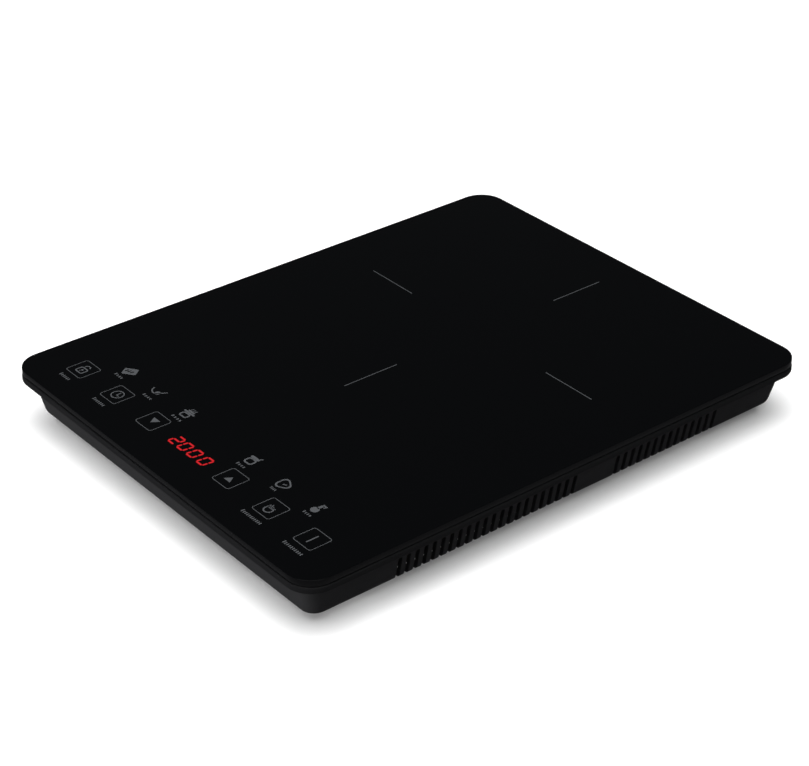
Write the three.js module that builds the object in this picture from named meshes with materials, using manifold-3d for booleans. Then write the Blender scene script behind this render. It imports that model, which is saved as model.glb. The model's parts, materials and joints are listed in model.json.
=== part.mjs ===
// Portable single-zone induction cooktop.
// Millimetres, +Z up. Origin: middle of the footprint, on the surface the feet stand on.
// -Y is the side the user stands at (touch keys), +Y is the back, +X is the user's right.

import * as THREE from 'three';
import { mergeVertices } from 'three/addons/utils/BufferGeometryUtils.js';
import Module from 'manifold-3d';

const wasm = await Module();
wasm.setup();

// ---------------------------------------------------------------- driving dimensions

const WIDTH = 280;              // outline of the glass and of the lip under it
const DEPTH = 356;
const HEIGHT = 38;              // surface of the table to the top of the glass
const OUTLINE_R = 16;           // corner radius of that outline
const GAP = 0.3;                // assembly gap between pieces that sit on each other

const GLASS_T = 4;
const GLASS_INSET = 0.3;        // glass edge behind the lip edge
const GROOVE = 0.4;             // open joint between glass and lip
const GLASS_Z = HEIGHT - GLASS_T;

const LIP_TOP = GLASS_Z - GROOVE;
const LIP_H = 3.9;
const LIP_Z = LIP_TOP - LIP_H;
const LEDGE_Z = LIP_TOP - 1.4;  // floor of the rebate that carries the bonding seal
const FRAME_INNER = 16;         // the frame's opening, measured in from the outline

const BASE_Z = 8;               // underside of the case
const WALL = 2.2;
const FLOOR_T = 2;
const FLOOR_Z = BASE_Z + FLOOR_T;
const BODY_R = 8;               // corner radius of the case walls
const BODY_TOP = LIP_Z - GAP;

// height and inset from the outline, bottom to top: a rounded lower edge and a drafted wall
const BODY_PROFILE = [[BASE_Z, 12], [10.8, 10.5], [BODY_TOP, 6.65]];

const VENT_PITCH = 5.75;
const VENT_W = 2.7;
const VENT_TOP = 22.6;
const VENT_REACH = 118.5;       // the slots run under the case as far in as this
const VENT_GROUPS = [{ first: -111.9, count: 22 }, { first: 40.6, count: 14 }];

const SCREW_X = 119.6;          // six screws hold the lip frame to the case
const SCREW_YS = [-154, 25, 154];
const POST_R = 3.6;
const SHANK_R = 1.2;
const PILOT_R = SHANK_R + GAP;

const FOOT_X = 92;
const FOOT_Y = 138;
const FOOT_R = 10;

const GLAND = { x: -70, z: 18.1, padR: 8, holeR: 5.2, outside: 171, inside: 164.5 };

const FAN = { x: -68, y: -85, size: 80, bore: 38, z: 12, h: 15, hub: 17.5, hole: 35.75 };
const BLADES = 7;

const ZONE_Y = 51.5;            // centre of the cooking zone, over the coil
const COIL = { inner: 25, outer: 85, z: 28.6, h: 4.2 };
const SPOKES = 6;
const EAR_R = 93;
const EAR_ANGLES = [90, 210, 330];
const BRACKET_Z = 26;
const BRACKET_T = 2.3;

const BOARD = { x: 41, y: -96, w: 134, d: 100, z: 15, t: 1.6 };
const BOARD_TOP = BOARD.z + BOARD.t + GAP;

// where the middle of each part stands on the power board
const PLACE = {
  heatSink: [20, -95], igbt: [0, -97], rectifier: [38, -97],
  resonantCapacitor: [85, -106], dcLinkCapacitor: [85, -83], mainsFilterCapacitor: [85, -64],
  choke: [54, -60], transformer: [27, -62], fuse: [-6, -133], buzzer: [30, -134],
  electrolytic: [64.4, -119.4],
};

const KEY_Y = -149.8;           // row of touch keys
const KEY_XS = { lock: -107.2, timer: -71.8, down: -35.9, up: 37.3, function: 73.1, power: 108.4 };
const LAMP_Y = -132;            // row of programme lamps
const LAMP_XS = [-88, -59, -30, 30, 59, 88];
const PANEL = { y: -144.5, w: 227, d: 34, z: 27.3, t: 1.6 };
const PANEL_TOP = PANEL.z + PANEL.t + GAP;
const CARRIER_POSTS = [-100, 0, 100];

// ---------------------------------------------------------------- shape helpers

function solid(geometry) {
  const bare = geometry.clone();
  bare.deleteAttribute('normal');
  bare.deleteAttribute('uv');
  const merged = mergeVertices(bare, 1e-4);
  return new wasm.Manifold(new wasm.Mesh({
    numProp: 3,
    vertProperties: new Float32Array(merged.attributes.position.array),
    triVerts: new Uint32Array(merged.index.array),
  }));
}

function toGeometry(shape) {
  const mesh = shape.getMesh();
  const geometry = new THREE.BufferGeometry();
  geometry.setAttribute('position', new THREE.BufferAttribute(new Float32Array(mesh.vertProperties), 3));
  geometry.setIndex(new THREE.BufferAttribute(new Uint32Array(mesh.triVerts), 1));
  geometry.computeVertexNormals();
  return geometry;
}

function union(shapes) {
  return shapes.reduce((whole, shape) => whole.add(shape));
}

// a box by its middle in x and y and its underside in z
function block(w, d, h, x, y, z) {
  return solid(new THREE.BoxGeometry(w, d, h).translate(x, y, z + h / 2));
}

// an upright cylinder or cone standing on z
function post(r, h, x, y, z, sides = 14, rTop = r) {
  const shape = new THREE.CylinderGeometry(rTop, r, h, sides).rotateX(Math.PI / 2);
  return solid(shape.translate(x, y, z + h / 2));
}

// a body of revolution about an upright axis; the profile is [radius, height] pairs
function turned(profile, x, y, sides = 24) {
  const points = profile.map(([r, z]) => new THREE.Vector2(r, z));
  return solid(new THREE.LatheGeometry(points, sides).rotateX(Math.PI / 2).translate(x, y, 0));
}

// a ring of rectangular section about an upright axis
function ring(rIn, rOut, z, h, x, y, sides = 32) {
  return post(rOut, h, x, y, z, sides).subtract(post(rIn, h + 2, x, y, z - 1, sides));
}

function roundedRect(w, d, r) {
  const shape = new THREE.Shape();
  const x = w / 2 - r;
  const y = d / 2 - r;
  shape.moveTo(-x, -y - r);
  shape.lineTo(x, -y - r);
  shape.absarc(x, -y, r, -Math.PI / 2, 0);
  shape.lineTo(x + r, y);
  shape.absarc(x, y, r, 0, Math.PI / 2);
  shape.lineTo(-x, y + r);
  shape.absarc(-x, y, r, Math.PI / 2, Math.PI);
  shape.lineTo(-x - r, -y);
  shape.absarc(-x, -y, r, Math.PI, Math.PI * 1.5);
  return shape;
}

// a rounded block whose sides step in or out: levels are [height, inset], bottom to top
function drafted(w, d, r, levels) {
  const steps = levels.length - 1;
  const outline = roundedRect(w, d, r);
  const geometry = new THREE.ExtrudeGeometry(outline, {
    depth: steps, steps, bevelEnabled: false, curveSegments: 3,
  });
  const p = geometry.attributes.position;
  for (let i = 0; i < p.count; i++) {
    const [z, inset] = levels[Math.round(p.getZ(i))];
    const x = p.getX(i);
    const y = p.getY(i);
    p.setXYZ(i, x - Math.sign(x) * inset, y - Math.sign(y) * inset, z);
  }
  return solid(geometry);
}

// a straight-sided rounded plate centred on x, y
function plate(w, d, r, h, x, y, z) {
  return drafted(w, d, r, [[z, 0], [z + h, 0]]).translate([x, y, 0]);
}

// a round wire along a smooth curve
function wire(points, r, steps, sides = 8) {
  const section = new THREE.Shape().absarc(0, 0, r, 0, Math.PI * 2);
  const path = new THREE.CatmullRomCurve3(points.map((p) => new THREE.Vector3(...p)));
  return solid(new THREE.ExtrudeGeometry(section, {
    steps, bevelEnabled: false, extrudePath: path, curveSegments: sides / 2,
  }));
}

function around(count, start, place) {
  return Array.from({ length: count }, (_, i) => {
    const angle = start + (i * Math.PI * 2) / count;
    return place(angle, i);
  });
}

// ---------------------------------------------------------------- finishes

function finish(color, roughness, metalness = 0) {
  return new THREE.MeshStandardMaterial({ color, roughness, metalness });
}

const FINISH = {
  glass: finish(0x0b0c0d, 0.08),
  seal: finish(0x141414, 0.8),
  caseTop: finish(0x17181a, 0.45),
  caseBottom: finish(0x2a2b2c, 0.5),
  rubber: finish(0x1b1b1b, 0.85),
  fan: finish(0x1d1e20, 0.5),
  lamination: finish(0x7a6a55, 0.4, 0.6),
  bracket: finish(0x2a2622, 0.6),
  copper: finish(0xb4673a, 0.35, 0.8),
  ferrite: finish(0x33353a, 0.6),
  mica: finish(0xc9bfa8, 0.6),
  ceramic: finish(0xe8e4da, 0.6),
  sleeve: finish(0xd9d6cc, 0.7),
  fibreBoard: finish(0xa98a4e, 0.55),
  maskedBoard: finish(0x1f5a37, 0.4),
  aluminium: finish(0xb9bcbf, 0.35, 0.9),
  epoxy: finish(0x17181a, 0.45),
  film: finish(0xc7a42c, 0.4),
  can: finish(0x27304a, 0.35, 0.3),
  tape: finish(0xd8b93c, 0.5),
  steel: finish(0x9a9da1, 0.35, 0.9),
  display: finish(0x202224, 0.5),
  guide: finish(0xe9e9e6, 0.5),
  ribbon: finish(0xbfc2c6, 0.5),
};

const cooktop = new THREE.Group();
cooktop.name = 'induction_cooktop';

function addNode(name, shape, material) {
  const mesh = new THREE.Mesh(toGeometry(shape), material);
  mesh.name = name;
  cooktop.add(mesh);
}

// ---------------------------------------------------------------- glass, seal and lip frame

function glassTop() {
  const inset = GLASS_INSET;
  return drafted(WIDTH, DEPTH, OUTLINE_R, [
    [GLASS_Z, inset + 0.4], [GLASS_Z + 0.4, inset], [HEIGHT - 0.6, inset], [HEIGHT, inset + 0.6],
  ]);
}

function glassSeal() {
  const z = LEDGE_Z + GAP;
  const h = GLASS_Z - GAP - z;
  const outer = plate(WIDTH - 12, DEPTH - 12, OUTLINE_R - 6, h, 0, 0, z);
  return outer.subtract(plate(WIDTH - 26, DEPTH - 26, 5, h + 2, 0, 0, z - 1));
}

function topFrame() {
  const lipEdge = 0.7;
  const lip = drafted(WIDTH, DEPTH, OUTLINE_R, [
    [LIP_Z, lipEdge], [LIP_Z + lipEdge, 0], [LIP_TOP - 0.4, 0], [LIP_TOP, 0.4],
  ]);
  const inner = FRAME_INNER * 2;
  const rebate = plate(WIDTH - 9, DEPTH - 9, OUTLINE_R - 4.5, 5, 0, 0, LEDGE_Z);
  const opening = plate(WIDTH - inner, DEPTH - inner, 6, 12, 0, 0, LIP_Z - 3);
  const tongueZ = LIP_Z - 3.2;
  const tongue = plate(WIDTH - 20.6, DEPTH - 20.6, 7, 4.2, 0, 0, tongueZ)
    .subtract(plate(WIDTH - 24.6, DEPTH - 24.6, 5, 8, 0, 0, tongueZ - 1));
  const posts = [];
  const pilots = [];
  const postZ = FLOOR_Z + 2.5;
  for (const side of [-1, 1]) {
    for (const y of SCREW_YS) {
      posts.push(post(POST_R, LIP_Z + 1 - postZ, side * SCREW_X, y, postZ));
      posts.push(block(11, 9, 2.1, side * (SCREW_X + 1.4), y, LIP_Z + 0.2));
      pilots.push(post(PILOT_R, 9, side * SCREW_X, y, postZ - 1, 8));
    }
  }
  return lip.subtract(rebate).subtract(opening).add(tongue).add(union(posts)).subtract(union(pilots));
}

addNode('glass_top', glassTop(), FINISH.glass);
addNode('glass_seal', glassSeal(), FINISH.seal);
addNode('top_frame', topFrame(), FINISH.caseTop);

// ---------------------------------------------------------------- bottom case

// slots down both side walls that wrap under the lower edge
function ventSlots() {
  const slots = [];
  const reach = WIDTH / 2 + 1 - VENT_REACH;
  for (const group of VENT_GROUPS) {
    for (let i = 0; i < group.count; i++) {
      const y = group.first + i * VENT_PITCH;
      for (const side of [-1, 1]) {
        const x = side * (VENT_REACH + reach / 2);
        slots.push(block(reach, VENT_W, VENT_TOP - BASE_Z + 1, x, y, BASE_Z - 1));
      }
    }
  }
  return union(slots);
}

// straight slots in the floor inside the circle of the fan
function intakeGrille() {
  const pitch = 6.2;
  const reach = FAN.bore - 2;
  const slots = [];
  for (let i = -5; i <= 5; i++) {
    const y = i * pitch;
    const length = 2 * Math.sqrt(reach * reach - y * y);
    slots.push(block(length, 3.2, FLOOR_T + 2, FAN.x, FAN.y + y, BASE_Z - 1));
  }
  return union(slots);
}

function glandPad() {
  const { x, z, padR, outside, inside } = GLAND;
  const length = outside - inside;
  const shape = new THREE.CylinderGeometry(padR, padR, length, 20);
  return solid(shape.translate(x, inside + length / 2, z));
}

function glandHole() {
  const { x, z, holeR } = GLAND;
  return solid(new THREE.CylinderGeometry(holeR, holeR, 30, 20).translate(x, 168, z));
}

function boardPosts() {
  return [[-1, -1], [1, -1], [-1, 1], [1, 1]].map(([sx, sy]) => [
    BOARD.x + sx * (BOARD.w / 2 - 5), BOARD.y + sy * (BOARD.d / 2 - 5),
  ]);
}

function fanHoles() {
  return [[-1, -1], [1, 1], [-1, 1], [1, -1]].map(([sx, sy]) => [
    FAN.x + sx * FAN.hole, FAN.y + sy * FAN.hole,
  ]);
}

function earPlaces(radius) {
  return EAR_ANGLES.map((degrees) => {
    const angle = THREE.MathUtils.degToRad(degrees);
    return [radius * Math.cos(angle), ZONE_Y + radius * Math.sin(angle)];
  });
}

function bottomCase() {
  const outer = drafted(WIDTH, DEPTH, BODY_R, BODY_PROFILE);
  const top = BODY_PROFILE.at(-1);
  const cavity = drafted(WIDTH, DEPTH, BODY_R - WALL, [
    [FLOOR_Z, 10.7 + WALL], [top[0] + 1, top[1] - 0.2 + WALL],
  ]);
  const bosses = [glandPad()];
  const holes = [ventSlots(), intakeGrille(), glandHole()];
  for (const side of [-1, 1]) {
    for (const y of SCREW_YS) {
      bosses.push(post(4.6, 2.4, side * SCREW_X, y, FLOOR_Z - 0.2));
      holes.push(post(PILOT_R + 0.3, 8, side * SCREW_X, y, BASE_Z - 1, 8));
      holes.push(post(3.5, 3.2, side * SCREW_X, y, BASE_Z - 1, 14));
    }
    for (const y of [-FOOT_Y, FOOT_Y]) {
      holes.push(post(3.3, 6, side * FOOT_X, y, BASE_Z - 1, 12));
    }
  }
  boardPosts().forEach(([x, y], i) => {
    bosses.push(post(3.2, BOARD.z - GAP - FLOOR_Z + 0.2, x, y, FLOOR_Z - 0.2, 12));
    if (i % 3 === 0) holes.push(post(PILOT_R, 4, x, y, FLOOR_Z + 1.5, 8));
    else bosses.push(post(1.4, BOARD.t + 3, x, y, BOARD.z - 1.5, 8));
  });
  for (const [x, y] of fanHoles()) {
    bosses.push(post(3.6, FAN.z - GAP - FLOOR_Z + 0.2, x, y, FLOOR_Z - 0.2, 12));
    holes.push(post(1.8, 4, x, y, BASE_Z + 0.8, 8));
  }
  for (const [x, y] of earPlaces(EAR_R)) {
    bosses.push(post(4.6, BRACKET_Z - GAP - FLOOR_Z + 0.2, x, y, FLOOR_Z - 0.2, 12, 3.6));
    holes.push(post(PILOT_R, 9, x, y, BRACKET_Z - 8, 8));
  }
  for (const x of CARRIER_POSTS) {
    bosses.push(post(3.6, 14, x, PANEL.y - 12.5, FLOOR_Z - 0.2, 12, 2.8));
  }
  return outer.subtract(cavity).add(union(bosses)).subtract(union(holes));
}

function foot(x, y) {
  const head = [
    [0, 0], [FOOT_R - 1, 0], [FOOT_R, 1], [FOOT_R - 0.6, BASE_Z - GAP], [3, BASE_Z - GAP],
    [3, FLOOR_Z + GAP], [4.2, FLOOR_Z + GAP], [3, FLOOR_Z + 2], [0, FLOOR_Z + 2],
  ];
  return turned(head, x, y, 18);
}

// the grommet that the mains lead passes through
function cordGland() {
  const { x, z, inside, outside, holeR } = GLAND;
  const neck = holeR - GAP;
  const profile = [
    [3.4, inside - 3.3], [6.6, inside - 3.3], [7, inside - 2.6], [7, inside - GAP],
    [neck, inside - GAP], [neck, outside + GAP], [7.4, outside + GAP], [7, outside + 2.4],
    [4.8, outside + 3.6], [3.4, outside + 3.6], [3.4, inside - 3.3],
  ].map(([r, y]) => new THREE.Vector2(r, y));
  const shape = new THREE.LatheGeometry(profile, 20);
  return solid(shape.translate(x, 0, z));
}

// head and shank of a screw; the head is above the seat, or below it when turned over
function screw(x, y, seat, length, r = SHANK_R, headR = 2.9, over = false) {
  const sign = over ? -1 : 1;
  const head = 1.7;
  const profile = [
    [0, seat - sign * length], [r, seat - sign * (length - 1)],
    [r, seat], [headR, seat], [headR, seat + sign * head * 0.6], [headR * 0.6, seat + sign * head],
    [0, seat + sign * head],
  ];
  return turned(over ? profile.reverse() : profile, x, y, 10);
}

addNode('bottom_case', bottomCase(), FINISH.caseBottom);
addNode('foot_front_left', foot(-FOOT_X, -FOOT_Y), FINISH.rubber);
addNode('foot_front_right', foot(FOOT_X, -FOOT_Y), FINISH.rubber);
addNode('foot_rear_left', foot(-FOOT_X, FOOT_Y), FINISH.rubber);
addNode('foot_rear_right', foot(FOOT_X, FOOT_Y), FINISH.rubber);
addNode('cord_gland', cordGland(), FINISH.rubber);

SCREW_YS.forEach((y, i) => {
  const seat = BASE_Z + 2.2 - GAP;
  addNode(`case_screw_left_${i + 1}`, screw(-SCREW_X, y, seat, 8.5, SHANK_R, 2.9, true), FINISH.steel);
  addNode(`case_screw_right_${i + 1}`, screw(SCREW_X, y, seat, 8.5, SHANK_R, 2.9, true), FINISH.steel);
});

// ---------------------------------------------------------------- cooling fan

const FAN_TOP = FAN.z + FAN.h;
const STRUT_Z = FAN_TOP - 2;

function fanFrame() {
  const { x, y, size, bore, z, h } = FAN;
  const shell = plate(size, size, 4, h, x, y, z).subtract(post(bore, h + 2, x, y, z - 1, 36));
  const struts = around(4, Math.PI / 4, (angle) => {
    const bar = new THREE.BoxGeometry(27, 3.6, 2).translate(26, 0, 0).rotateZ(angle);
    return solid(bar.translate(x, y, STRUT_Z + 1));
  });
  const seat = post(15, 2, x, y, STRUT_Z, 24);
  const bearing = post(3, STRUT_Z - 16 + 0.5, x, y, 16, 16);
  const shaftHole = post(1.6, STRUT_Z - 15.5, x, y, 15, 20);
  const holes = fanHoles().map(([hx, hy]) => post(2.2, h + 2, hx, hy, z - 1, 10));
  return shell.add(union(struts)).add(seat).add(bearing).subtract(shaftHole).subtract(union(holes));
}

function fanStator() {
  const z = 16.5;
  const core = ring(3.3, 8, z, 6.5, FAN.x, FAN.y, 28);
  const poles = around(4, 0, (angle) => {
    const tooth = new THREE.BoxGeometry(7, 6, 5.5).translate(10, 0, 0).rotateZ(angle);
    return solid(tooth.translate(FAN.x, FAN.y, z + 3.25));
  });
  return core.add(union(poles));
}

function fanRotor() {
  const { x, y, bore, z, hub } = FAN;
  const low = z + 1;
  const cup = turned([
    [0, low], [hub - 2, low], [hub, low + 1.6], [hub, STRUT_Z - 1.5], [hub - 1.6, STRUT_Z - 1.5],
    [hub - 1.6, low + 1.8], [1.5, low + 1.8], [1.5, STRUT_Z - 2], [0, STRUT_Z - 2],
  ], x, y, 28);
  const pitch = THREE.MathUtils.degToRad(38);
  const blades = around(BLADES, 0, (angle) => {
    const blade = new THREE.BoxGeometry(24, 17, 1.4);
    blade.rotateX(pitch).translate(hub + 11.4, 0, 0).rotateZ(angle);
    return solid(blade.translate(x, y, low + 5.6));
  });
  const sweep = post(bore - 1.2, STRUT_Z - 0.8 - low, x, y, low, 42);
  const core = post(hub - 0.8, 40, x, y, 0, 28);
  return cup.add(union(blades).intersect(sweep).subtract(core));
}

addNode('fan_frame', fanFrame(), FINISH.fan);
addNode('fan_stator', fanStator(), FINISH.lamination);
addNode('fan_rotor', fanRotor(), FINISH.fan);
fanHoles().slice(0, 2).forEach(([x, y], i) => {
  addNode(`fan_screw_${i + 1}`, screw(x, y, FAN_TOP + GAP, 17.2, 1.5, 3.4), FINISH.steel);
});

// ---------------------------------------------------------------- induction coil

function coilWinding() {
  return ring(COIL.inner, COIL.outer, COIL.z, COIL.h, 0, ZONE_Y, 48);
}

function coilBracket() {
  const z = BRACKET_Z;
  const t = BRACKET_T;
  const parts = [
    ring(7.5, 12, z, t, 0, ZONE_Y, 20),
    ring(24, 28, z, t, 0, ZONE_Y, 28),
    ring(84, 88.5, z, t, 0, ZONE_Y, 42),
  ];
  around(SPOKES, 0, (angle) => {
    const spoke = new THREE.BoxGeometry(76, 9, t).translate(48.5, 0, 0).rotateZ(angle);
    parts.push(solid(spoke.translate(0, ZONE_Y, z + t / 2)));
  });
  for (const [x, y] of earPlaces(EAR_R)) parts.push(post(6, t, x, y, z, 16));
  const holes = earPlaces(EAR_R).map(([x, y]) => post(1.8, t + 2, x, y, z - 1, 8));
  return union(parts).subtract(union(holes));
}

function ferrite(angle) {
  const bar = new THREE.BoxGeometry(52, 11, 4.2).translate(56, 0, 0).rotateZ(angle);
  return solid(bar.translate(0, ZONE_Y, BRACKET_Z - GAP - 2.1));
}

function micaSheet() {
  return ring(10, 90, GLASS_Z - GAP - 0.6, 0.6, 0, ZONE_Y, 48);
}

function thermistor() {
  const top = GLASS_Z - GAP;
  return turned([
    [0, 24], [2.4, 24], [2.4, 30.5], [6.8, 30.5], [6.8, top - 0.4], [6.4, top], [0, top],
  ], 0, ZONE_Y, 18);
}

// sleeved litz lead that ends in a flat terminal over the power board
function coilLead(points, r) {
  const end = points.at(-1);
  return wire(points, r, 22).add(post(4, 1.6, end[0], end[1], end[2] - r - 0.2, 12));
}

addNode('coil_winding', coilWinding(), FINISH.copper);
addNode('coil_bracket', coilBracket(), FINISH.bracket);
around(SPOKES, 0, (angle, i) => addNode(`ferrite_bar_${i + 1}`, ferrite(angle), FINISH.ferrite));
addNode('mica_sheet', micaSheet(), FINISH.mica);
addNode('thermistor', thermistor(), FINISH.ceramic);
addNode('coil_lead_inner', coilLead([
  [0, ZONE_Y - 18, 31], [0, ZONE_Y - 18, 26.5], [0, ZONE_Y - 25, 23.3], [0, ZONE_Y - 50, 23.2],
  [-1, ZONE_Y - 78, 23.2], [-5, -44, 22.5], [-8, -58, 20],
], 1.9), FINISH.sleeve);
addNode('coil_lead_outer', coilLead([
  [24, ZONE_Y - 84, 31.2], [22, ZONE_Y - 89.5, 30.6], [16, -46, 27], [10, -54, 22], [8, -62, 20],
], 1.9), FINISH.sleeve);
earPlaces(EAR_R).forEach(([x, y], i) => {
  const seat = BRACKET_Z + BRACKET_T + GAP;
  addNode(`coil_screw_${i + 1}`, screw(x, y, seat, 9.5), FINISH.steel);
});

// ---------------------------------------------------------------- power board

function powerBoard() {
  const holes = boardPosts().map(([x, y]) => post(1.8, 4, x, y, BOARD.z - 1, 8));
  return plate(BOARD.w, BOARD.d, 2, BOARD.t, BOARD.x, BOARD.y, BOARD.z).subtract(union(holes));
}

function heatSink() {
  const [x, y] = PLACE.heatSink;
  const sink = { x, y, w: 80, d: 34, z: 21.8, t: 3, top: 31.4, fins: 9 };
  const parts = [block(sink.w, sink.d, sink.t, sink.x, sink.y, sink.z)];
  const pitch = (sink.d - 1.4) / (sink.fins - 1);
  for (let i = 0; i < sink.fins; i++) {
    const finY = y - sink.d / 2 + 0.7 + i * pitch;
    parts.push(block(sink.w, 1.4, sink.top - sink.z, x, finY, sink.z));
  }
  for (const side of [-1, 1]) {
    const legX = x + side * (sink.w / 2 - 1.5);
    parts.push(block(3, sink.d, sink.z - BOARD_TOP + 1, legX, y, BOARD_TOP));
  }
  return union(parts);
}

// flat package with three or four formed leads that reach the board
function powerPackage(w, d, leads, [x, y]) {
  const parts = [block(w, d, 4.2, x, y, BOARD_TOP + 0.4)];
  const pitch = 5.4;
  for (let i = 0; i < leads; i++) {
    const lx = x + (i - (leads - 1) / 2) * pitch;
    parts.push(block(1.2, 5, 0.8, lx, y + d / 2 + 2, BOARD_TOP + 1.4));
    parts.push(block(1.2, 0.8, 2.2, lx, y + d / 2 + 4.5, BOARD_TOP));
  }
  return union(parts);
}

function boxCapacitor(w, d, h, [x, y]) {
  return drafted(w, d, 1.5, [[BOARD_TOP, 0], [BOARD_TOP + h - 0.6, 0], [BOARD_TOP + h, 0.6]])
    .translate([x, y, 0]);
}

function choke() {
  const [x, y] = PLACE.choke;
  const rows = around(10, 0, (a) => new THREE.Vector2(7.6 + 3.6 * Math.cos(a), 4.1 * Math.sin(a)));
  rows.push(rows[0].clone());
  const toroid = solid(new THREE.LatheGeometry(rows, 20).rotateX(Math.PI / 2));
  const body = toroid.translate([x, y, BOARD_TOP + 5.1]);
  return body.add(ring(3.6, 11.6, BOARD_TOP, 2, x, y, 16));
}

function transformer() {
  const [x, y] = PLACE.transformer;
  const core = block(18, 12, 12.4, x, y, BOARD_TOP + 0.6);
  const bobbin = block(20, 6, 2, x, y, BOARD_TOP);
  return union([core, bobbin, block(11, 17, 9, x, y, BOARD_TOP + 2.4)]);
}

function fuse() {
  const [x, y] = PLACE.fuse;
  const profile = [
    [0, -10], [2.6, -10], [2.6, -5], [2.1, -4.7], [2.1, 4.7], [2.6, 5], [2.6, 10], [0, 10],
  ].map(([r, along]) => new THREE.Vector2(r, along));
  const tube = new THREE.LatheGeometry(profile, 12).rotateZ(Math.PI / 2);
  return solid(tube.translate(x, y, BOARD_TOP + 3));
}

function buzzer() {
  return turned([
    [0, BOARD_TOP], [6, BOARD_TOP], [6, BOARD_TOP + 5.6], [5.5, BOARD_TOP + 6.1],
    [1.2, BOARD_TOP + 6.1], [1.2, BOARD_TOP + 4.6], [0, BOARD_TOP + 4.6],
  ], ...PLACE.buzzer, 18);
}

function electrolytic() {
  return turned([
    [0, BOARD_TOP], [5, BOARD_TOP], [5, BOARD_TOP + 0.8], [4.6, BOARD_TOP + 1.6],
    [5, BOARD_TOP + 2.4], [5, BOARD_TOP + 11.6], [4.5, BOARD_TOP + 12], [0, BOARD_TOP + 12],
  ], ...PLACE.electrolytic, 16);
}

// flat cable that leaves the top of the panel board and drops to the power board
function ribbonCable() {
  const cable = { x: 97, w: 10, t: 0.8, start: -134, bend: -125, drop: -123, z: PANEL_TOP };
  const { t, start, bend, drop, z } = cable;
  const strip = new THREE.Shape();
  strip.moveTo(start, z);
  strip.lineTo(bend, z);
  strip.quadraticCurveTo(drop, z, drop, z - 2);
  strip.lineTo(drop, BOARD_TOP);
  strip.lineTo(drop + t, BOARD_TOP);
  strip.lineTo(drop + t, z - 2);
  strip.quadraticCurveTo(drop + t, z + t, bend, z + t);
  strip.lineTo(start, z + t);
  const shape = new THREE.ExtrudeGeometry(strip, { depth: cable.w, bevelEnabled: false, curveSegments: 6 });
  // drawn with Y across and Z up, then stood up and turned so that the width runs along X
  return solid(shape.rotateX(Math.PI / 2).rotateZ(Math.PI / 2).translate(cable.x, 0, 0));
}

addNode('power_board', powerBoard(), FINISH.fibreBoard);
addNode('heat_sink', heatSink(), FINISH.aluminium);
addNode('igbt', powerPackage(16, 20, 3, PLACE.igbt), FINISH.epoxy);
addNode('bridge_rectifier', powerPackage(26, 20, 4, PLACE.rectifier), FINISH.epoxy);
addNode('resonant_capacitor', boxCapacitor(30, 18, 13, PLACE.resonantCapacitor), FINISH.film);
addNode('dc_link_capacitor', boxCapacitor(30, 18, 13, PLACE.dcLinkCapacitor), FINISH.film);
addNode('mains_filter_capacitor', boxCapacitor(26, 10, 12, PLACE.mainsFilterCapacitor), FINISH.film);
addNode('filter_choke', choke(), FINISH.copper);
addNode('standby_transformer', transformer(), FINISH.tape);
addNode('fuse', fuse(), FINISH.ceramic);
addNode('buzzer', buzzer(), FINISH.epoxy);
addNode('electrolytic_capacitor', electrolytic(), FINISH.can);
addNode('ribbon_cable', ribbonCable(), FINISH.ribbon);
[0, 3].forEach((corner, i) => {
  const [x, y] = boardPosts()[corner];
  addNode(`board_screw_${i + 1}`, screw(x, y, BOARD_TOP, 4.8), FINISH.steel);
});

// ---------------------------------------------------------------- touch panel under the glass

function panelCarrier() {
  const z = PANEL.z - GAP - 3;
  const w = PANEL.w + 2.8;
  const d = PANEL.d + 2.8;
  const tray = plate(w, d, 2, 4.4, 0, PANEL.y, z);
  const bed = plate(PANEL.w + 0.6, PANEL.d + 0.6, 1, 4, 0, PANEL.y, z + 3);
  const windows = [-1, 1].map((side) => block(92, 20, 6, side * 54, PANEL.y + 3, z - 1));
  return tray.subtract(bed).subtract(union(windows));
}

function controlBoard() {
  return plate(PANEL.w, PANEL.d, 1.2, PANEL.t, 0, PANEL.y, PANEL.z);
}

function displayModule() {
  const x = 3.2;
  const y = -150.8;
  const h = GLASS_Z - GAP - PANEL_TOP;
  const windows = [-1.5, -0.5, 0.5, 1.5].map((i) => block(6.6, 9.6, 2, x + i * 8.4, y, GLASS_Z - 1.3));
  return block(38, 15, h, x, y, PANEL_TOP).subtract(union(windows));
}

function lightGuide() {
  const h = GLASS_Z - GAP - PANEL_TOP;
  const wells = LAMP_XS.map((x) => post(2.6, h + 2, x, LAMP_Y, PANEL_TOP - 1, 10));
  return plate(190, 8, 2, h, 0, LAMP_Y, PANEL_TOP).subtract(union(wells));
}

function touchSpring(x) {
  const h = GLASS_Z - GAP - PANEL_TOP;
  return ring(4, 5, PANEL_TOP, h, x, KEY_Y, 12);
}

addNode('panel_carrier', panelCarrier(), FINISH.bracket);
addNode('control_board', controlBoard(), FINISH.maskedBoard);
addNode('display_module', displayModule(), FINISH.display);
addNode('light_guide', lightGuide(), FINISH.guide);
for (const [key, x] of Object.entries(KEY_XS)) {
  addNode(`touch_spring_${key}`, touchSpring(x), FINISH.steel);
}

export default cooktop;
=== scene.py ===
# %% [markdown]
# # A slim portable induction cooktop
# The cooktop was designed in CAD first, so its glass, case, coil, boards and fan already sit at their
# real places. This lesson dresses that frame: it shapes the pieces a person sees, gives every piece a
# finish, and lights the result on a pale table. Nothing here moves or resizes the design.

# %% Load the CAD frame
import json
import math

import bmesh
import bpy
from mathutils import Matrix, Vector


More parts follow.
